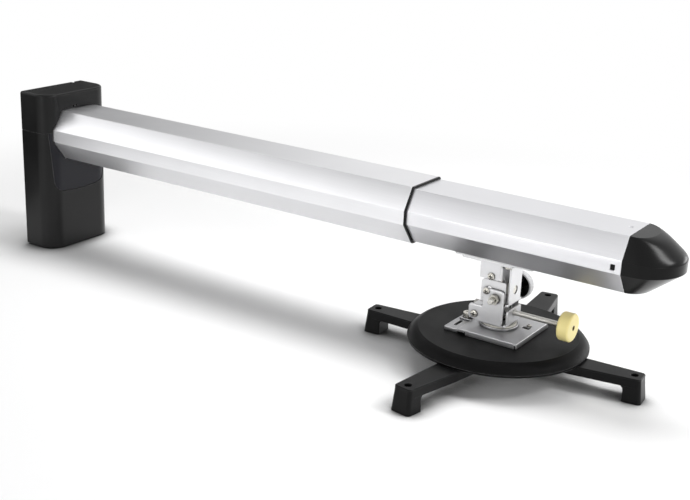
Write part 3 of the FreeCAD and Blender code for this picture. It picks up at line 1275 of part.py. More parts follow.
def make_adapter_disc():
    """Moulded dish with a crowned rim, ribbed underneath."""
    top = DISC_TOP
    edge_top = DISC_RIM + DISC_EDGE
    wall = DISC_WALL
    mid_r = DISC_FLAT_RADIUS + (DISC_RADIUS - DISC_FLAT_RADIUS) * 0.56
    mid_z = top - (top - edge_top) * 0.42
    outside = [Part.LineSegment(V(0, 0, top), V(DISC_FLAT_RADIUS, 0, top)).toShape()]
    brow = V(DISC_RADIUS - 0.8, 0, edge_top)
    outside.append(Part.Arc(V(DISC_FLAT_RADIUS, 0, top), V(mid_r, 0, mid_z), brow).toShape())
    outside.append(Part.LineSegment(brow, V(DISC_RADIUS, 0, edge_top - 0.8)).toShape())
    outside.append(Part.LineSegment(V(DISC_RADIUS, 0, edge_top - 0.8), V(DISC_RADIUS, 0, DISC_RIM)).toShape())
    outside.append(Part.LineSegment(V(DISC_RADIUS, 0, DISC_RIM), V(DISC_RADIUS - wall, 0, DISC_RIM)).toShape())
    inner_arc_start = V(DISC_RADIUS - wall, 0, edge_top - 1.5)
    outside.append(Part.LineSegment(V(DISC_RADIUS - wall, 0, DISC_RIM), inner_arc_start).toShape())
    inner_end = V(DISC_FLAT_RADIUS - 1, 0, top - wall)
    outside.append(Part.Arc(inner_arc_start, V(mid_r - 2.2, 0, mid_z - 2.6), inner_end).toShape())
    outside.append(Part.LineSegment(inner_end, V(0, 0, top - wall)).toShape())
    outside.append(Part.LineSegment(V(0, 0, top - wall), V(0, 0, top)).toShape())
    dish = Part.Face(Part.Wire(outside)).revolve(V(), V(0, 0, 1), 360)
    rib_low = DISC_RIM + 3.5
    for i in range(DISC_RIBS):
        rib = box(14, DISC_FLAT_RADIUS, -1.1, 1.1, rib_low, top - wall + 1)
        rib.rotate(V(), V(0, 0, 1), 360.0 * (i + 0.5) / DISC_RIBS)
        dish = dish.fuse(rib)
    ring = Part.makeCylinder(16, top - wall + 1 - rib_low, V(0, 0, rib_low))
    dish = dish.fuse(ring.cut(Part.makeCylinder(13.5, 20, V(0, 0, rib_low - 1))))
    for angle in BOSS_ANGLES:
        spot = boss_spot(angle) - V(HEAD_X, 0, 0)
        dish = dish.fuse(Part.makeCylinder(BOSS_RADIUS, top - wall + 1 - DISC_RIM, spot + V(0, 0, DISC_RIM)))
    for spot in receiver_screw_spots():
        place = V(spot[0] - HEAD_X, spot[1], rib_low)
        dish = dish.fuse(Part.makeCylinder(4.5, top - wall + 1 - rib_low, place))
    for angle in BOSS_ANGLES:
        spot = boss_spot(angle) - V(HEAD_X, 0, 0)
        dish = dish.cut(Part.makeCylinder(LEG_BOLT_RADIUS + RUNNING_GAP, 9, spot + V(0, 0, DISC_RIM - 1)))
    for spot in receiver_screw_spots():
        dish = dish.cut(Part.makeCylinder(2.0, 7.2, V(spot[0] - HEAD_X, spot[1], top - 7.1)))
    dish.translate(V(HEAD_X, 0, 0))
    return dish.removeSplitter()


def boss_spot(angle):
    """Foot of one leg boss, level with the arm's centre line."""
    turn = math.radians(angle)
    return V(HEAD_X + BOSS_CIRCLE * math.cos(turn), BOSS_CIRCLE * math.sin(turn), 0)


LEG_TOP = DISC_RIM - LEG_GAP


def foot_ring(z, grow):
    """Rounded section of the foot at one height, measured from the tip hole."""
    half = LEG_TIP_HALF_WIDTH + grow * 0.5
    return outline([(-LEG_TIP - grow, -half, LEG_TIP_CORNER), (-LEG_TIP - grow, half, LEG_TIP_CORNER),
                    (FOOT_LENGTH - LEG_TIP, half, 1.5), (FOOT_LENGTH - LEG_TIP, -half, 1.5)], "z", z)


def foot_core(z, grow):
    """Hollow of the foot at one height."""
    half = LEG_TIP_HALF_WIDTH + grow * 0.5 - LEG_WALL
    return outline([(-LEG_TIP - grow + LEG_WALL, -half, 2.0), (-LEG_TIP - grow + LEG_WALL, half, 2.0),
                    (FOOT_LENGTH - LEG_TIP - LEG_WALL, half, 1.0), (FOOT_LENGTH - LEG_TIP - LEG_WALL, -half, 1.0)],
                   "z", z)


def leg_plan(inset, tip_inset):
    """Plan of a leg from its tip to its rounded root."""
    tip = LEG_TIP_HALF_WIDTH - inset
    root = LEG_ROOT_HALF_WIDTH - inset
    start = -LEG_TIP + tip_inset
    round_off = LEG_TIP_CORNER - inset
    return [(start, -tip, round_off), (LEG_TAPER_END, -root, 0), (LEG_LENGTH - inset, -root, root - 1),
            (LEG_LENGTH - inset, root, root - 1), (LEG_TAPER_END, root, 0), (start, tip, round_off)]


def leg_slot_start():
    """Near end of a leg's slot, from its tip hole."""
    return LEG_LENGTH - LEG_SLOT_END - LEG_SLOT_LENGTH


def leg_reach(number):
    """Distance from the tip hole to the bolt of one leg, by its setting along the slot."""
    nearest = leg_slot_start() + LEG_SLOT_WIDTH / 2
    return nearest + LEG_SETTINGS[number] * (LEG_SLOT_LENGTH - LEG_SLOT_WIDTH)


def leg_blank():
    """Leg drawn with its tip hole at the origin and its root along +X."""
    top = LEG_TOP
    arm = slab(leg_plan(0, 0), "z", top - LEG_DEPTH, top)
    arm = arm.makeChamfer(1.0, [e for e in arm.Edges if e.CenterOfMass.z > top - 0.01])
    channel = slab(leg_plan(LEG_WALL, FOOT_LENGTH), "z", top - LEG_DEPTH - 1, top - LEG_SHEET)
    arm = arm.cut(channel)
    foot = Part.makeLoft([foot_ring(FLOOR, LEG_FLARE), foot_ring(top - LEG_SHEET, 0)], True, True)
    heel = FOOT_LENGTH - LEG_TIP
    under = top - LEG_DEPTH
    side = LEG_TIP_HALF_WIDTH
    hollow = rod(V(heel + FOOT_FILLET, -side - 1, under - FOOT_FILLET),
                 V(heel + FOOT_FILLET, side + 1, under - FOOT_FILLET), FOOT_FILLET)
    for low, high in ((-side, -side + LEG_WALL), (side - LEG_WALL, side)):
        fillet = box(heel - 0.5, heel + FOOT_FILLET, low, high, under - FOOT_FILLET, under + 0.5)
        arm = arm.fuse(fillet.cut(hollow))
    leg = arm.fuse(foot)
    core = Part.makeLoft([foot_core(FLOOR - 0.5, LEG_FLARE), foot_core(top - LEG_SHEET, 0)], True, True)
    leg = leg.cut(core)
    leg = leg.cut(Part.makeCylinder(LEG_HOLE_RADIUS, LEG_SHEET + 1, V(0, 0, top - LEG_SHEET - 0.5)))
    wide = LEG_HOLE_RADIUS + LEG_HOLE_CHAMFER
    leg = leg.cut(Part.makeCone(LEG_HOLE_RADIUS, wide, LEG_HOLE_CHAMFER, V(0, 0, top - LEG_HOLE_CHAMFER)))
    half = LEG_SLOT_WIDTH / 2
    slot = rectangle(leg_slot_start(), LEG_LENGTH - LEG_SLOT_END, -half, half, half - 0.01)
    return leg.cut(slab(slot, "z", top - 8, top + 1)).removeSplitter()


def make_leg(number):
    """One leg, set out from its boss by its reach and angle."""
    leg = leg_blank()
    leg.rotate(V(), V(0, 0, 1), 180)
    leg.translate(V(leg_reach(number), 0, 0))
    leg.rotate(V(), V(0, 0, 1), LEG_ANGLES[number])
    leg.translate(boss_spot(BOSS_ANGLES[number]))
    return leg


def make_leg_bolt(number):
    """Flanged bolt that clamps one leg under the disc."""
    seat = LEG_TOP - LEG_SHEET - 0.2
    spot = boss_spot(BOSS_ANGLES[number]) + V(0, 0, seat)
    bolt = hex_bolt(spot - V(0, 0, 1.4), V(0, 0, -1), 8.0, 3.4, LEG_BOLT_RADIUS, 1.4 + DISC_RIM - seat + 7.5)
    flange = Part.makeCylinder(7.0, 1.4, spot - V(0, 0, 1.4))
    return bolt.fuse(flange)


NODES = {
    "wall_plate": make_wall_plate,
    "arm_socket": make_arm_socket,
    "socket_bolts": make_socket_bolts,
    "tube_bolts": make_tube_bolts,
    "outer_tube": make_outer_tube,
    "mouth_ring": make_mouth_ring,
    "arm_lock_screws": make_arm_lock_screws,
    "upper_cover": make_upper_cover,
    "lower_cover": make_lower_cover,
    "front_panel": make_front_panel,
    "cover_screws": make_cover_screws,
    "inner_tube": make_inner_tube,
    "end_cap": make_end_cap,
    "rail_plate": make_rail_plate,
    "backing_plate": make_backing_plate,
    "rail_bolts": make_rail_bolts,
    "upper_bracket": make_upper_bracket,
    "bracket_spacer": make_bracket_spacer,
    "bracket_screws": make_bracket_screws,
    "roll_stud": make_roll_stud,
    "roll_washer": make_roll_washer,
    "roll_nut": make_roll_nut,
    "middle_yoke": make_middle_yoke,
    "lower_bracket": make_lower_bracket,
    "tilt_washers": make_tilt_washers,
    "tilt_lock_nut": make_tilt_lock_nut,
    "stop_screws": make_stop_screws,
    "rod_block": make_rod_block,
    "tab_screws": make_tab_screws,
    "tilt_nut": make_tilt_nut,
    "tilt_rod": make_tilt_rod,
    "tilt_knob": make_tilt_knob,
    "tilt_lock_stud": make_tilt_lock_stud,
    "tilt_lock_knob": make_tilt_lock_knob,
    "swivel_washer": make_swivel_washer,
    "turntable_disc": make_turntable_disc,
    "swivel_bolt": make_swivel_bolt,
    "swivel_nut": make_swivel_nut,
    "slide_plate": make_slide_plate,
    "keeper_screw": make_keeper_screw,
    "plate_lock_screw": make_plate_lock_screw,
    "receiver_plate": make_receiver_plate,
    "receiver_screws": make_receiver_screws,
    "adapter_disc": make_adapter_disc,
}


def main():
    """Write every piece of the mount to its own file."""
    os.makedirs("parts", exist_ok=True)
    for name, make in NODES.items():
        make().exportStep(f"parts/{name}.step")
    for number in range(len(LEG_ANGLES)):
        make_leg(number).exportStep(f"parts/leg_{number + 1}.step")
        make_leg_bolt(number).exportStep(f"parts/leg_bolt_{number + 1}.step")


main()
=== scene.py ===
import json
import math

import bpy
from mathutils import Matrix, Vector


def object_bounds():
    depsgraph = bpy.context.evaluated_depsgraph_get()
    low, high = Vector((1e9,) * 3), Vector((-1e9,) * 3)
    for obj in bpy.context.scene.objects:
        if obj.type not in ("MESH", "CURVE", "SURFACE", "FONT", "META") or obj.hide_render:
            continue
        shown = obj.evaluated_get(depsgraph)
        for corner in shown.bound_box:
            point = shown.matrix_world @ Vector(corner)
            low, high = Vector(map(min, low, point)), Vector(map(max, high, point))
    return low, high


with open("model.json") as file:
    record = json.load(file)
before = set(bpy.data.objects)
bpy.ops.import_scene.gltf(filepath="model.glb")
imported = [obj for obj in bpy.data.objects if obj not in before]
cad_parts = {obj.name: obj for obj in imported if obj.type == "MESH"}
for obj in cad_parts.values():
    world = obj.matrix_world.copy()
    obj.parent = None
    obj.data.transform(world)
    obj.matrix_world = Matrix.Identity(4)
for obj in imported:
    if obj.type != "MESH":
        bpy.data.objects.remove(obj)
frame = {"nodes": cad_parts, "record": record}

cad_box = [list(corner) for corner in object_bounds()]

MM = 0.001

# Camera, in degrees, metres and millimetres of lens
CAMERA_AZIMUTH = 33.54
CAMERA_ELEVATION = 18.85
CAMERA_ROLL = 2.43
CAMERA_DISTANCE = 1.432459
CAMERA_TARGET = (0.469168, 0.029267, -0.082383)
CAMERA_LENS = 61.84
CAMERA_SENSOR = 36.0
CAMERA_NEAR = 0.01
CAMERA_FAR = 100.0

# Floor, in metres, and its surface
FLOOR_GAP = 0.5 * MM
FLOOR_SIZE = 14.0
FLOOR_COLOUR = 0.91
FLOOR_UNEVEN = 0.02
FLOOR_NOISE = 1.5
FLOOR_ROUGHNESS = 0.6
FLOOR_SPECULAR = 0.2

# Painted contact shadow: the floor's colour darkened right beside what stands on it
CONTACT_REACH = 30.0 * MM
CONTACT_SHADE_COLOUR = (0.02, 0.02, 0.02)

# How far the floor keeps the object's shadow, and the width over which it turns white
SHADOW_REACH = 0.55
SHADOW_FADE = 0.5

# Painted glow of the floor, seen only in shiny surfaces, which falls between two distances toward
# the front right
MIRRORED_FILL = 0.42
MIRRORED_FILL_FRONT = 0.04
FRONT_RIGHT = (0.6, -0.8, 0.0)
FILL_LIMITS = (0.3, 0.75)

# Even light, and the point that some lamps face
WORLD_LEVEL = 0.11
MIDDLE = (0.45, 0.0, -0.05)

# Values of a noise, and of how open a point is, that count as lowest and highest
NOISE_LIMITS = (0.3, 0.7)
OPEN_LIMITS = (0.4, 0.92)
OPEN_SAMPLES = 8
# Reach of the painted shade in gaps, and of the painted shade that takes the shine out of seams
GAP_REACH = 4.5 * MM
SEAM_REACH = 2.5 * MM

# Cosine between the rounded and the true normal, on a flat face and at a full edge
FLAT_FACE = 0.995
PLASTIC_EDGE = 0.86
METAL_EDGE = 0.95
EDGE_SAMPLES = 4

# Noises: broad patches per metre, and how detailed patches, grain and lines are
PLASTIC_NOISE = 26.0
METAL_NOISE = 18.0
PATCH_DETAIL = 2.0
GRAIN_DETAIL = 3.0
LINE_DETAIL = 4.0

# Plastic, and the blue in its greys
PLASTIC_SOFT = 0.5 * MM
PLASTIC_RELIEF = 0.5
GREY_BLUE = 1.02

# Metal, with the curve of the shading on the tubes' upper panels
METAL_RELIEF = 0.4
SATIN_METALLIC = 0.85
PLATE_METALLIC = 0.7
# Metallic and colour of the painted highlight at the edges
EDGE_METALLIC = 0.2
EDGE_HIGHLIGHT = (0.95, 0.95, 0.95)
PANEL_BOW = 3.8

# Screw thread, and the width in metres of one ring of a wave of scale 1
THREAD_PITCH = 1.0 * MM
THREAD_DEPTH = 0.35 * MM
THREAD_SOFT = 0.2 * MM
THREAD_RELIEF = 0.8
WAVE_RING = 0.314

# Painted sheen on the lock knob's paler rim, and painted shade in the hand knob's dark hole
KNOB_RIM = 1.8 * MM
RIM_SHEEN_COLOUR = (0.55, 0.55, 0.56)
KNOB_HOLE = 2.8 * MM
HOLE_SHADE_COLOUR = (0.10, 0.05, 0.015)
BAND_SOFT = 0.2 * MM

# Pieces in darker zinc; on the turntable the darker tone is painted shade
DARKER_ZINC_NODES = ("slide_plate", "receiver_plate", "turntable_disc")

# Colour sockets of the mix node, which has other kinds under the same names
MIX_FIRST = 6
MIX_SECOND = 7
MIX_RESULT = 2


def node(tree, kind, **inputs):
    """A shader node with some of its inputs set."""
    made = tree.nodes.new("ShaderNode" + kind)
    for name, value in inputs.items():
        made.inputs[name.replace("_", " ")].default_value = value
    return made


def link(tree, source, target, socket):
    """Joins an output, or a node's first output, to an input of another node."""
    output = source.outputs[0] if hasattr(source, "outputs") else source
    tree.links.new(output, target.inputs[socket])


def math_node(tree, operation, first, second):
    """A math node with two inputs, each a number or a source."""
    made = tree.nodes.new("ShaderNodeMath")
    made.operation = operation
    for index, value in enumerate((first, second)):
        if isinstance(value, float):
            made.inputs[index].default_value = value
        else:
            link(tree, value, made, index)
    return made


def vector_node(tree, operation, source, second=None):
    """A vector math node of a source, with a plain vector where it takes a second one."""
    made = tree.nodes.new("ShaderNodeVectorMath")
    made.operation = operation
    link(tree, source, made, 0)
    if second is not None:
        made.inputs[1].default_value = second
    return made


def carry(tree, source, limits, low=0.0, high=1.0):
    """A source's range between two limits carried over to the range from low to high."""
    made = tree.nodes.new("ShaderNodeMapRange")
    made.inputs["From Min"].default_value = limits[0]
    made.inputs["From Max"].default_value = limits[1]
    made.inputs["To Min"].default_value = low
    made.inputs["To Max"].default_value = high
    link(tree, source, made, "Value")
    return made


def mix_colours(tree, share, first, second):
    """A colour between two by a share, each a plain colour or a source."""
    made = tree.nodes.new("ShaderNodeMix")
    made.data_type = "RGBA"
    for index, colour in ((MIX_FIRST, first), (MIX_SECOND, second)):
        if isinstance(colour, tuple):
            made.inputs[index].default_value = (*colour, 1)
        else:
            link(tree, colour, made, index)
    link(tree, share, made, 0)
    return made.outputs[MIX_RESULT]


def mix_shaders(tree, share, first, second, out):
    """Sends a mix of two shaders to an output node."""
    mix = tree.nodes.new("ShaderNodeMixShader")
    link(tree, share, mix, 0)
    link(tree, first, mix, 1)
    link(tree, second, mix, 2)
    link(tree, mix, out, "Surface")


def find(tree, kind):
    """The first node of a kind."""
    return next(one for one in tree.nodes if one.type == kind)


def start(name):
    """An empty material with its surface shader and object coordinates."""
    material = bpy.data.materials.new(name)
    material.use_nodes = True
    tree = material.node_tree
    tree.nodes.clear()
    out = tree.nodes.new("ShaderNodeOutputMaterial")
    shader = tree.nodes.new("ShaderNodeBsdfPrincipled")
    link(tree, shader, out, "Surface")
    place = tree.nodes.new("ShaderNodeTexCoord").outputs["Object"]
    return material, tree, shader, place


def noise(tree, place, scale, stretch=(1, 1, 1), detail=GRAIN_DETAIL):
    """A noise in object coordinates, stretched along the axes."""
    mapping = tree.nodes.new("ShaderNodeMapping")
    mapping.inputs["Scale"].default_value = stretch
    link(tree, place, mapping, "Vector")
    made = node(tree, "TexNoise", Scale=scale, Detail=detail)
    link(tree, mapping, made, "Vector")
    return made


def soft_edges(tree, radius):
    """Normals rounded over the edges, for the light that real edges catch."""
    made = node(tree, "Bevel", Radius=radius)
    made.samples = EDGE_SAMPLES
    return made


def edge_share(tree, rounded, full_edge, low=0.0, high=1.0):
    """A value that goes from low on flat faces to high at the edges."""
    true_normal = tree.nodes.new("ShaderNodeNewGeometry").outputs["Normal"]
    product = vector_node(tree, "DOT_PRODUCT", rounded)
    link(tree, true_normal, product, 1)
    return carry(tree, product.outputs["Value"], (FLAT_FACE, full_edge), low, high)


def open_share(tree, reach, high=1.0):
    """A value that goes from 0 in narrow gaps to high on open faces."""
    ambient = node(tree, "AmbientOcclusion", Distance=reach)
    ambient.samples = OPEN_SAMPLES
    return carry(tree, ambient.outputs["AO"], OPEN_LIMITS, 0.0, high)


def painted_crevice_shade(tree, colour, dark, reach):
    """A colour darkened by painted shade in narrow gaps and inside corners."""
    return mix_colours(tree, open_share(tree, reach), dark, colour)


def relief(tree, height, rounded, strength, distance):
    """Bump over the rounded normals."""
    made = node(tree, "Bump", Strength=strength, Distance=distance)
    link(tree, height, made, "Height")
    link(tree, rounded, made, "Normal")
    return made


def bowed(tree, place, rounded):
    """Normals of a drawn tube's upper panels, which bow out a little."""
    parts = tree.nodes.new("ShaderNodeSeparateXYZ")
    link(tree, place, parts, 0)
    above = math_node(tree, "MAXIMUM", parts.outputs["Z"], 0.0)
    square = math_node(tree, "MULTIPLY", above, above)
    height = math_node(tree, "MULTIPLY", square, -PANEL_BOW)
    return relief(tree, height, rounded, strength=1.0, distance=1.0)


def plastic(name, dark, pale, edge, grain, depth, rough, specular=0.5):
    """Moulded plastic or powder coat: fine grain, uneven gloss, edges paler with painted
    highlights, and seams with their shine taken out as painted shade.
    """
    material, tree, shader, place = start(name)
    fine = noise(tree, place, grain)
    broad = noise(tree, place, PLASTIC_NOISE, detail=PATCH_DETAIL)
    rounded = soft_edges(tree, PLASTIC_SOFT)
    colour = mix_colours(tree, broad, dark, pale)
    # Paler edges: a painted highlight
    colour = mix_colours(tree, edge_share(tree, rounded, PLASTIC_EDGE), colour, edge)
    link(tree, colour, shader, "Base Color")
    link(tree, carry(tree, broad, NOISE_LIMITS, *rough), shader, "Roughness")
    link(tree, relief(tree, fine, rounded, PLASTIC_RELIEF, depth), shader, "Normal")
    # Less shine in seams and gaps: painted shade
    link(tree, open_share(tree, SEAM_REACH, specular), shader, "Specular IOR Level")
    return material


def metal(name, dark, pale, rough, grain, depth, soft, stretch=(1, 1, 1), metallic=1.0,
          gap_shade=None, edge=None, panels=False):
    """Metal: lines, uneven gloss and rounded edges, with painted shade in gaps and painted
    highlights on edges if given.
    """
    material, tree, shader, place = start(name)
    lines = noise(tree, place, grain, stretch, LINE_DETAIL)
    broad = noise(tree, place, METAL_NOISE, detail=PATCH_DETAIL)
    rounded = soft_edges(tree, soft)
    half_lines = math_node(tree, "MULTIPLY", lines, 0.5)
    half_broad = math_node(tree, "MULTIPLY", broad, 0.5)
    colour = mix_colours(tree, math_node(tree, "ADD", half_lines, half_broad), dark, pale)
    shader.inputs["Metallic"].default_value = metallic
    if edge:
        # Paler, less metallic edges: a painted highlight
        colour = mix_colours(tree, edge_share(tree, rounded, METAL_EDGE), colour, edge)
        edge_highlight_metallic = edge_share(tree, rounded, METAL_EDGE, metallic, EDGE_METALLIC)
        link(tree, edge_highlight_metallic, shader, "Metallic")
    if gap_shade:
        # Darker gaps: painted shade
        colour = painted_crevice_shade(tree, colour, gap_shade, GAP_REACH)
    link(tree, colour, shader, "Base Color")
    link(tree, carry(tree, lines, NOISE_LIMITS, *rough), shader, "Roughness")
    base = bowed(tree, place, rounded) if panels else rounded
    link(tree, relief(tree, lines, base, METAL_RELIEF, depth), shader, "Normal")
    return material


def drawn_tube(name, dark, pale, rough):
    """Drawn aluminium with fine lines along X."""
    return metal(name, dark, pale, rough, grain=900, depth=0.008 * MM, soft=1.2 * MM,
                 stretch=(0.02, 1, 1), metallic=SATIN_METALLIC, panels=True)


def zinc_sheet(name, dark, pale, rough, soft, gap_shade):
    """Zinc-plated sheet with painted highlights on the edges and painted shade in the gaps."""
    return metal(name, dark, pale, rough, grain=420, depth=0.008 * MM, soft=soft,
                 metallic=PLATE_METALLIC, gap_shade=gap_shade, edge=EDGE_HIGHLIGHT)


def threaded(name, dark, pale, rough):
    """Metal rod along X with a thread's rings."""
    material, tree, shader, place = start(name)
    rings = node(tree, "TexWave", Scale=WAVE_RING / THREAD_PITCH)
    rings.wave_type = "BANDS"
    rings.bands_direction = "X"
    link(tree, place, rings, "Vector")
    rounded = soft_edges(tree, THREAD_SOFT)
    # The colour is darker in the thread's grooves: painted shade
    link(tree, mix_colours(tree, rings, dark, pale), shader, "Base Color")
    link(tree, carry(tree, rings, NOISE_LIMITS, *rough), shader, "Roughness")
    link(tree, relief(tree, rings, rounded, THREAD_RELIEF, THREAD_DEPTH), shader, "Normal")
    shader.inputs["Metallic"].default_value = 1.0
    return material


def grey(level):
    """A grey or black with a trace of blue."""
    return (level, level, level * GREY_BLUE)


def make_plastics():
    """The moulded and powder-coated finishes by slot name."""
    # The edge colours are painted highlights
    return {
        "black_steel": plastic("powder_black", dark=grey(0.010), pale=grey(0.016), edge=grey(0.04),
                               grain=2600, depth=0.05 * MM, rough=(0.42, 0.55), specular=0.2),
        "cover_plastic": plastic("cover_black", dark=grey(0.002), pale=grey(0.004), edge=grey(0.14),
                                 grain=3200, depth=0.04 * MM, rough=(0.28, 0.36), specular=0.2),
        "panel_plastic": plastic("panel_black", dark=(0.009, 0.009, 0.012),
                                 pale=(0.013, 0.013, 0.017), edge=grey(0.16),
                                 grain=3200, depth=0.04 * MM, rough=(0.34, 0.44), specular=0.16),
        "black_plastic": plastic("knob_black", dark=grey(0.004), pale=grey(0.007), edge=grey(0.03),
                                 grain=2600, depth=0.03 * MM, rough=(0.32, 0.42), specular=0.12),
        "gloss_black": plastic("gloss_black", dark=grey(0.001), pale=grey(0.002), edge=grey(0.012),
                               grain=500, depth=0.008 * MM, rough=(0.20, 0.26), specular=0.18),
        "disc_plastic": plastic("disc_black", dark=grey(0.003), pale=grey(0.005), edge=grey(0.2),
                                grain=3000, depth=0.05 * MM, rough=(0.36, 0.46), specular=0.06),
        "leg_plastic": plastic("leg_black", dark=grey(0.003), pale=grey(0.006), edge=grey(0.05),
                               grain=3000, depth=0.05 * MM, rough=(0.30, 0.38), specular=0.1),
        "ivory_plastic": plastic("ivory_yellow", dark=(0.95, 0.79, 0.30), pale=(0.98, 0.86, 0.40),
                                 edge=(1.0, 0.93, 0.60), grain=900, depth=0.05 * MM,
                                 rough=(0.30, 0.42), specular=0.3),
        "nylon": plastic("nylon_white", dark=(0.60, 0.58, 0.52), pale=(0.72, 0.70, 0.64),
                         edge=(0.85, 0.84, 0.8), grain=1500, depth=0.04 * MM, rough=(0.4, 0.5)),
    }


def make_metals():
    """The metal finishes by slot name."""
    return {
        "arm_aluminium": drawn_tube("arm_satin", dark=(0.67, 0.67, 0.685), pale=(0.77, 0.77, 0.785),
                                    rough=(0.30, 0.38)),
        "tube_aluminium": drawn_tube("tube_satin", dark=(0.64, 0.64, 0.66), pale=(0.74, 0.74, 0.76),
                                     rough=(0.28, 0.36)),
        "zinc_steel": zinc_sheet("zinc_plate", dark=(0.58, 0.58, 0.59), pale=(0.68, 0.68, 0.69),
                                 rough=(0.32, 0.42), soft=0.4 * MM, gap_shade=(0.02, 0.02, 0.02)),
        "screws": metal("screw_zinc", dark=(0.34, 0.325, 0.29), pale=(0.74, 0.72, 0.66),
                        rough=(0.22, 0.34), grain=500, depth=0.04 * MM, soft=0.15 * MM,
                        gap_shade=(0.01, 0.01, 0.009)),
        "dark_screws": metal("screw_black", dark=(0.03, 0.03, 0.03), pale=(0.06, 0.06, 0.06),
                             rough=(0.3, 0.45), grain=500, depth=0.04 * MM, soft=0.15 * MM),
        "rod_steel": threaded("rod_thread", dark=(0.40, 0.39, 0.36), pale=(0.78, 0.77, 0.74),
                              rough=(0.25, 0.4)),
    }


def give(thing, material):
    """Gives every slot of a piece one material."""
    if not thing.material_slots:
        thing.data.materials.append(material)
    for slot in thing.material_slots:
        slot.material = material


def box_corners(thing):
    """The corners of a piece's box."""
    return [Vector(corner) for corner in thing.bound_box]


def banded(material, knob, plane, limits, colour):
    """A copy of a knob's finish that turns to another colour from one radius to the next."""
    made = material.copy()
    made.name = material.name + "_band"
    tree = made.node_tree
    shader = find(tree, "BSDF_PRINCIPLED")
    place = find(tree, "TEX_COORD").outputs["Object"]
    corners = box_corners(knob)
    middle = sum(corners, Vector()) / len(corners)
    flat = vector_node(tree, "MULTIPLY", vector_node(tree, "SUBTRACT", place, middle), plane)
    radius = vector_node(tree, "LENGTH", flat).outputs["Value"]
    plain = shader.inputs["Base Color"].links[0].from_socket
    mixed = mix_colours(tree, carry(tree, radius, limits), plain, colour)
    link(tree, mixed, shader, "Base Color")
    return made


def dress_lock_knob(finish):
    """The black knob, round about Y, with a rim made paler by painted sheen."""
    knob = frame["nodes"]["tilt_lock_knob"]
    heights = [corner.z for corner in box_corners(knob)]
    radius = (max(heights) - min(heights)) / 2
    rim = (radius - KNOB_RIM, radius - KNOB_RIM + BAND_SOFT)
    give(knob, banded(finish, knob, (1, 0, 1), rim, RIM_SHEEN_COLOUR))


def dress_hand_knob(finish):
    """The ivory knob, round about X, with a hole made dark by painted shade."""
    knob = frame["nodes"]["tilt_knob"]
    hole = (KNOB_HOLE + BAND_SOFT, KNOB_HOLE)
    give(knob, banded(finish, knob, (0, 1, 1), hole, HOLE_SHADE_COLOUR))


def dress_darker_zinc():
    """Darker zinc on the quick-release plates and the turntable; on the turntable the darker tone
    is painted shade.
    """
    darker_finish = zinc_sheet("zinc_darker", dark=(0.35, 0.35, 0.36), pale=(0.46, 0.46, 0.47),
                        rough=(0.30, 0.40), soft=1.2 * MM, gap_shade=(0.015, 0.015, 0.015))
    for name in DARKER_ZINC_NODES:
        give(frame["nodes"][name], darker_finish)


def dress(finishes):
    """Gives every CAD node the finish of its slot, and some a finish of their own."""
    for part in frame["record"]["subparts"]:
        give(frame["nodes"][part["node"]], finishes[part["material_slot"]])
    dress_lock_knob(finishes["black_plastic"])
    dress_hand_knob(finishes["ivory_plastic"])
    dress_darker_zinc()


def camera_matrix():
    """The camera's place and turn, at the photograph's angle."""
    azimuth = math.radians(CAMERA_AZIMUTH)
    elevation = math.radians(CAMERA_ELEVATION)
    roll = math.radians(CAMERA_ROLL)
    level = math.cos(elevation)
    back = Vector((math.sin(azimuth) * level, -math.cos(azimuth) * level, math.sin(elevation)))
    right = Vector((math.cos(azimuth), math.sin(azimuth), 0))
    up = back.cross(right)
    turned_right = right * math.cos(roll) + up * math.sin(roll)
    turned_up = up * math.cos(roll) - right * math.sin(roll)
    matrix = Matrix((turned_right, turned_up, back)).transposed().to_4x4()
    matrix.translation = Vector(CAMERA_TARGET) + back * CAMERA_DISTANCE
    return matrix


def make_camera():
    """The camera that the scene is seen through."""
    data = bpy.data.cameras.new("camera")
    data.sensor_width = CAMERA_SENSOR
    data.lens = CAMERA_LENS
    data.clip_start = CAMERA_NEAR
    data.clip_end = CAMERA_FAR
    camera = bpy.data.objects.new("camera", data)
    bpy.context.scene.collection.objects.link(camera)
    camera.matrix_world = camera_matrix()
    bpy.context.scene.camera = camera


def shiny_rays(tree):
    """1 for glossy and transmission rays, 0 for others."""
    rays = tree.nodes.new("ShaderNodeLightPath").outputs
    return math_node(tree, "MAXIMUM", rays["Is Glossy Ray"], rays["Is Transmission Ray"])


def background_rays(tree):
    """1 for camera, glossy and transmission rays, 0 for others."""
    rays = tree.nodes.new("ShaderNodeLightPath").outputs
    return math_node(tree, "MAXIMUM", rays["Is Camera Ray"], shiny_rays(tree))


def far_share(tree, place):
    """0 around the object and 1 farther off, as an ellipse along the arm."""
    low, high = cad_box
    middle = [(low[i] + high[i]) / 2 for i in range(3)]
    stretch = (high[0] - low[0]) / (high[1] - low[1] + 2 * SHADOW_REACH)
    shift = vector_node(tree, "SUBTRACT", place, middle)
    squeeze = vector_node(tree, "MULTIPLY", shift, (1 / max(stretch, 1.0), 1, 0))
    length = vector_node(tree, "LENGTH", squeeze).outputs["Value"]
    made = carry(tree, length, (SHADOW_REACH, SHADOW_REACH + SHADOW_FADE))
    made.interpolation_type = "SMOOTHSTEP"
    return made


def mirrored_fill(tree, place):
    """Painted glow that shiny surfaces see on the floor, less toward the front right."""
    along = vector_node(tree, "DOT_PRODUCT", place, FRONT_RIGHT).outputs["Value"]
    level = carry(tree, along, FILL_LIMITS, MIRRORED_FILL, MIRRORED_FILL_FRONT)
    level.interpolation_type = "SMOOTHSTEP"
    return math_node(tree, "MULTIPLY", shiny_rays(tree), level)


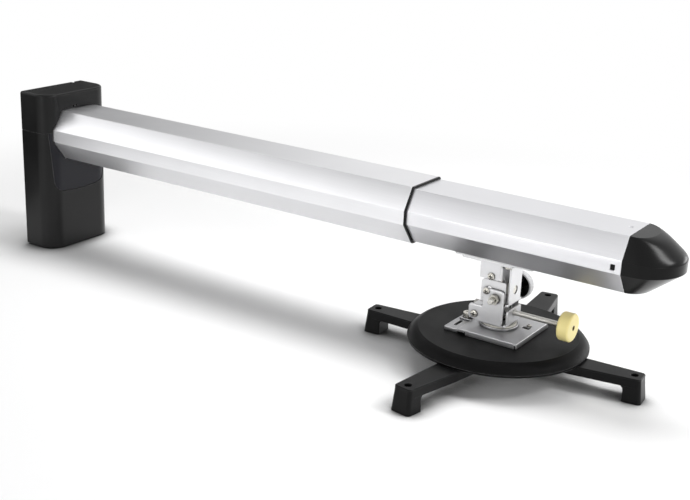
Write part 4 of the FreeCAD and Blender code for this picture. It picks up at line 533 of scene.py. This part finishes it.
def floor_finish():
    """White that keeps the shadow near the object and is plain white farther off."""
    material, tree, shader, place = start("floor_white")
    broad = noise(tree, place, FLOOR_NOISE)
    tone = mix_colours(tree, broad, (FLOOR_COLOUR,) * 3, (FLOOR_COLOUR + FLOOR_UNEVEN,) * 3)
    # Darker beside what stands on the floor: a painted contact shadow
    link(tree, painted_crevice_shade(tree, tone, CONTACT_SHADE_COLOUR, CONTACT_REACH), shader, "Base Color")
    shader.inputs["Roughness"].default_value = FLOOR_ROUGHNESS
    shader.inputs["Specular IOR Level"].default_value = FLOOR_SPECULAR
    # A painted glow, seen only in shiny surfaces
    fill = node(tree, "Emission", Color=(1, 1, 1, 1))
    link(tree, mirrored_fill(tree, place), fill, "Strength")
    lifted = tree.nodes.new("ShaderNodeAddShader")
    link(tree, shader, lifted, 0)
    link(tree, fill, lifted, 1)
    white = node(tree, "Emission", Color=(1, 1, 1, 1), Strength=1.0)
    plain = math_node(tree, "MULTIPLY", far_share(tree, place), background_rays(tree))
    mix_shaders(tree, plain, lifted, white, find(tree, "OUTPUT_MATERIAL"))
    return material


def make_sheet(name, corners, material):
    """A flat piece of the studio between four corners."""
    mesh = bpy.data.meshes.new(name)
    mesh.from_pydata(corners, [], [(0, 1, 2, 3)])
    sheet = bpy.data.objects.new(name, mesh)
    bpy.context.scene.collection.objects.link(sheet)
    sheet.data.materials.append(material)
    return sheet


def make_floor():
    """A white floor just below the lowest piece."""
    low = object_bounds()[0][2] - FLOOR_GAP
    half = FLOOR_SIZE / 2
    corners = [(-half, -half, low), (half, -half, low), (half, half, low), (-half, half, low)]
    floor = make_sheet("floor", corners, floor_finish())


def make_card(name, corners, axis, limits, dark):
    """A glowing card seen only in shiny surfaces, a painted reflection from a dark level to white
    along an axis.
    """
    material, tree, shader, place = start(name + "_grey")
    parts = tree.nodes.new("ShaderNodeSeparateXYZ")
    link(tree, place, parts, 0)
    link(tree, carry(tree, parts.outputs[axis], limits, dark), shader, "Emission Strength")
    shader.inputs["Base Color"].default_value = (0, 0, 0, 1)
    shader.inputs["Emission Color"].default_value = (1, 1, 1, 1)
    card = make_sheet(name, corners, material)
    card.visible_camera = False
    card.visible_diffuse = False
    card.visible_shadow = False
    card.visible_transmission = False


def make_cards():
    """Painted reflections that the tube mirrors: its top is darker toward the wall, its upper side
    toward the top.
    """
    make_card("card_behind", axis="X", limits=(-1.75, -0.55), dark=0.0,
              corners=[(-3.4, 1.8, 0.1), (-0.55, 1.8, 0.1), (-0.55, 1.8, 1.3), (-3.4, 1.8, 1.3)])
    make_card("card_side", axis="X", limits=(-0.3, 0.7), dark=0.0,
              corners=[(-0.6, -0.065, -0.155), (-0.06, -0.065, -0.155),
                       (-0.2, -0.42, -0.04), (-0.6, -0.42, -0.04)])
    make_card("card_above", axis="Y", limits=(-0.7, -1.12), dark=0.2,
              corners=[(-1.6, -1.7, 2.2), (0.12, -1.7, 2.2), (0.12, -0.1, 2.2), (-1.6, -0.1, 2.2)])


def make_world():
    """White behind everything, with a soft even light."""
    world = bpy.data.worlds.new("studio")
    bpy.context.scene.world = world
    world.use_nodes = True
    tree = world.node_tree
    tree.nodes.clear()
    out = tree.nodes.new("ShaderNodeOutputWorld")
    light = node(tree, "Background", Color=(1, 1, 1, 1), Strength=WORLD_LEVEL)
    white = node(tree, "Background", Color=(1, 1, 1, 1), Strength=1.0)
    mix_shaders(tree, background_rays(tree), light, white, out)


def make_lamp(name, place, aim, width, height, watts, mirrored=True):
    """A soft rectangular lamp that faces a point, seen in shiny surfaces where mirrored."""
    data = bpy.data.lights.new(name, "AREA")
    data.shape = "RECTANGLE"
    data.size = width
    data.size_y = height
    data.energy = watts
    lamp = bpy.data.objects.new(name, data)
    bpy.context.scene.collection.objects.link(lamp)
    lamp.location = place
    lamp.rotation_euler = (Vector(aim) - Vector(place)).to_track_quat("-Z", "Y").to_euler()
    lamp.visible_glossy = mirrored


def make_lamps():
    """Soft studio lamps above, in front and behind."""
    make_lamp("lamp_above", place=(0.35, 0.45, 1.9), aim=MIDDLE,
              width=1.5, height=0.9, watts=29, mirrored=False)
    make_lamp("lamp_front", place=(-1.9, -2.9, 2.4), aim=(0.3, 0, 0),
              width=5.0, height=1.3, watts=24)
    make_lamp("lamp_rear", place=(-0.4, 1.4, 2.0), aim=MIDDLE,
              width=2.4, height=0.5, watts=3)
    make_lamp("lamp_side", place=(1.9, -1.9, 0.9), aim=(0.7, 0, -0.1),
              width=1.0, height=1.0, watts=9, mirrored=False)
    make_lamp("lamp_end", place=(2.6, -0.8, 0.55), aim=(0.8, 0, -0.05),
              width=0.5, height=0.7, watts=10)
    make_lamp("lamp_rim", place=(1.8, 2.2, 0.25), aim=(0.3, 0, -0.05),
              width=1.2, height=0.5, watts=8)
    make_lamp("lamp_right", place=(1.95, 0.4, 1.4), aim=(0.8, 0, -0.05),
              width=0.5, height=0.9, watts=20)
    make_lamp("lamp_low", place=(0.12, -1.7, 0.02), aim=(0.03, 0, 0.02),
              width=0.25, height=0.25, watts=3)


dress({**make_plastics(), **make_metals()})
make_camera()
make_floor()
make_cards()
make_world()
make_lamps()
bpy.context.scene.view_settings.view_transform = "Standard"
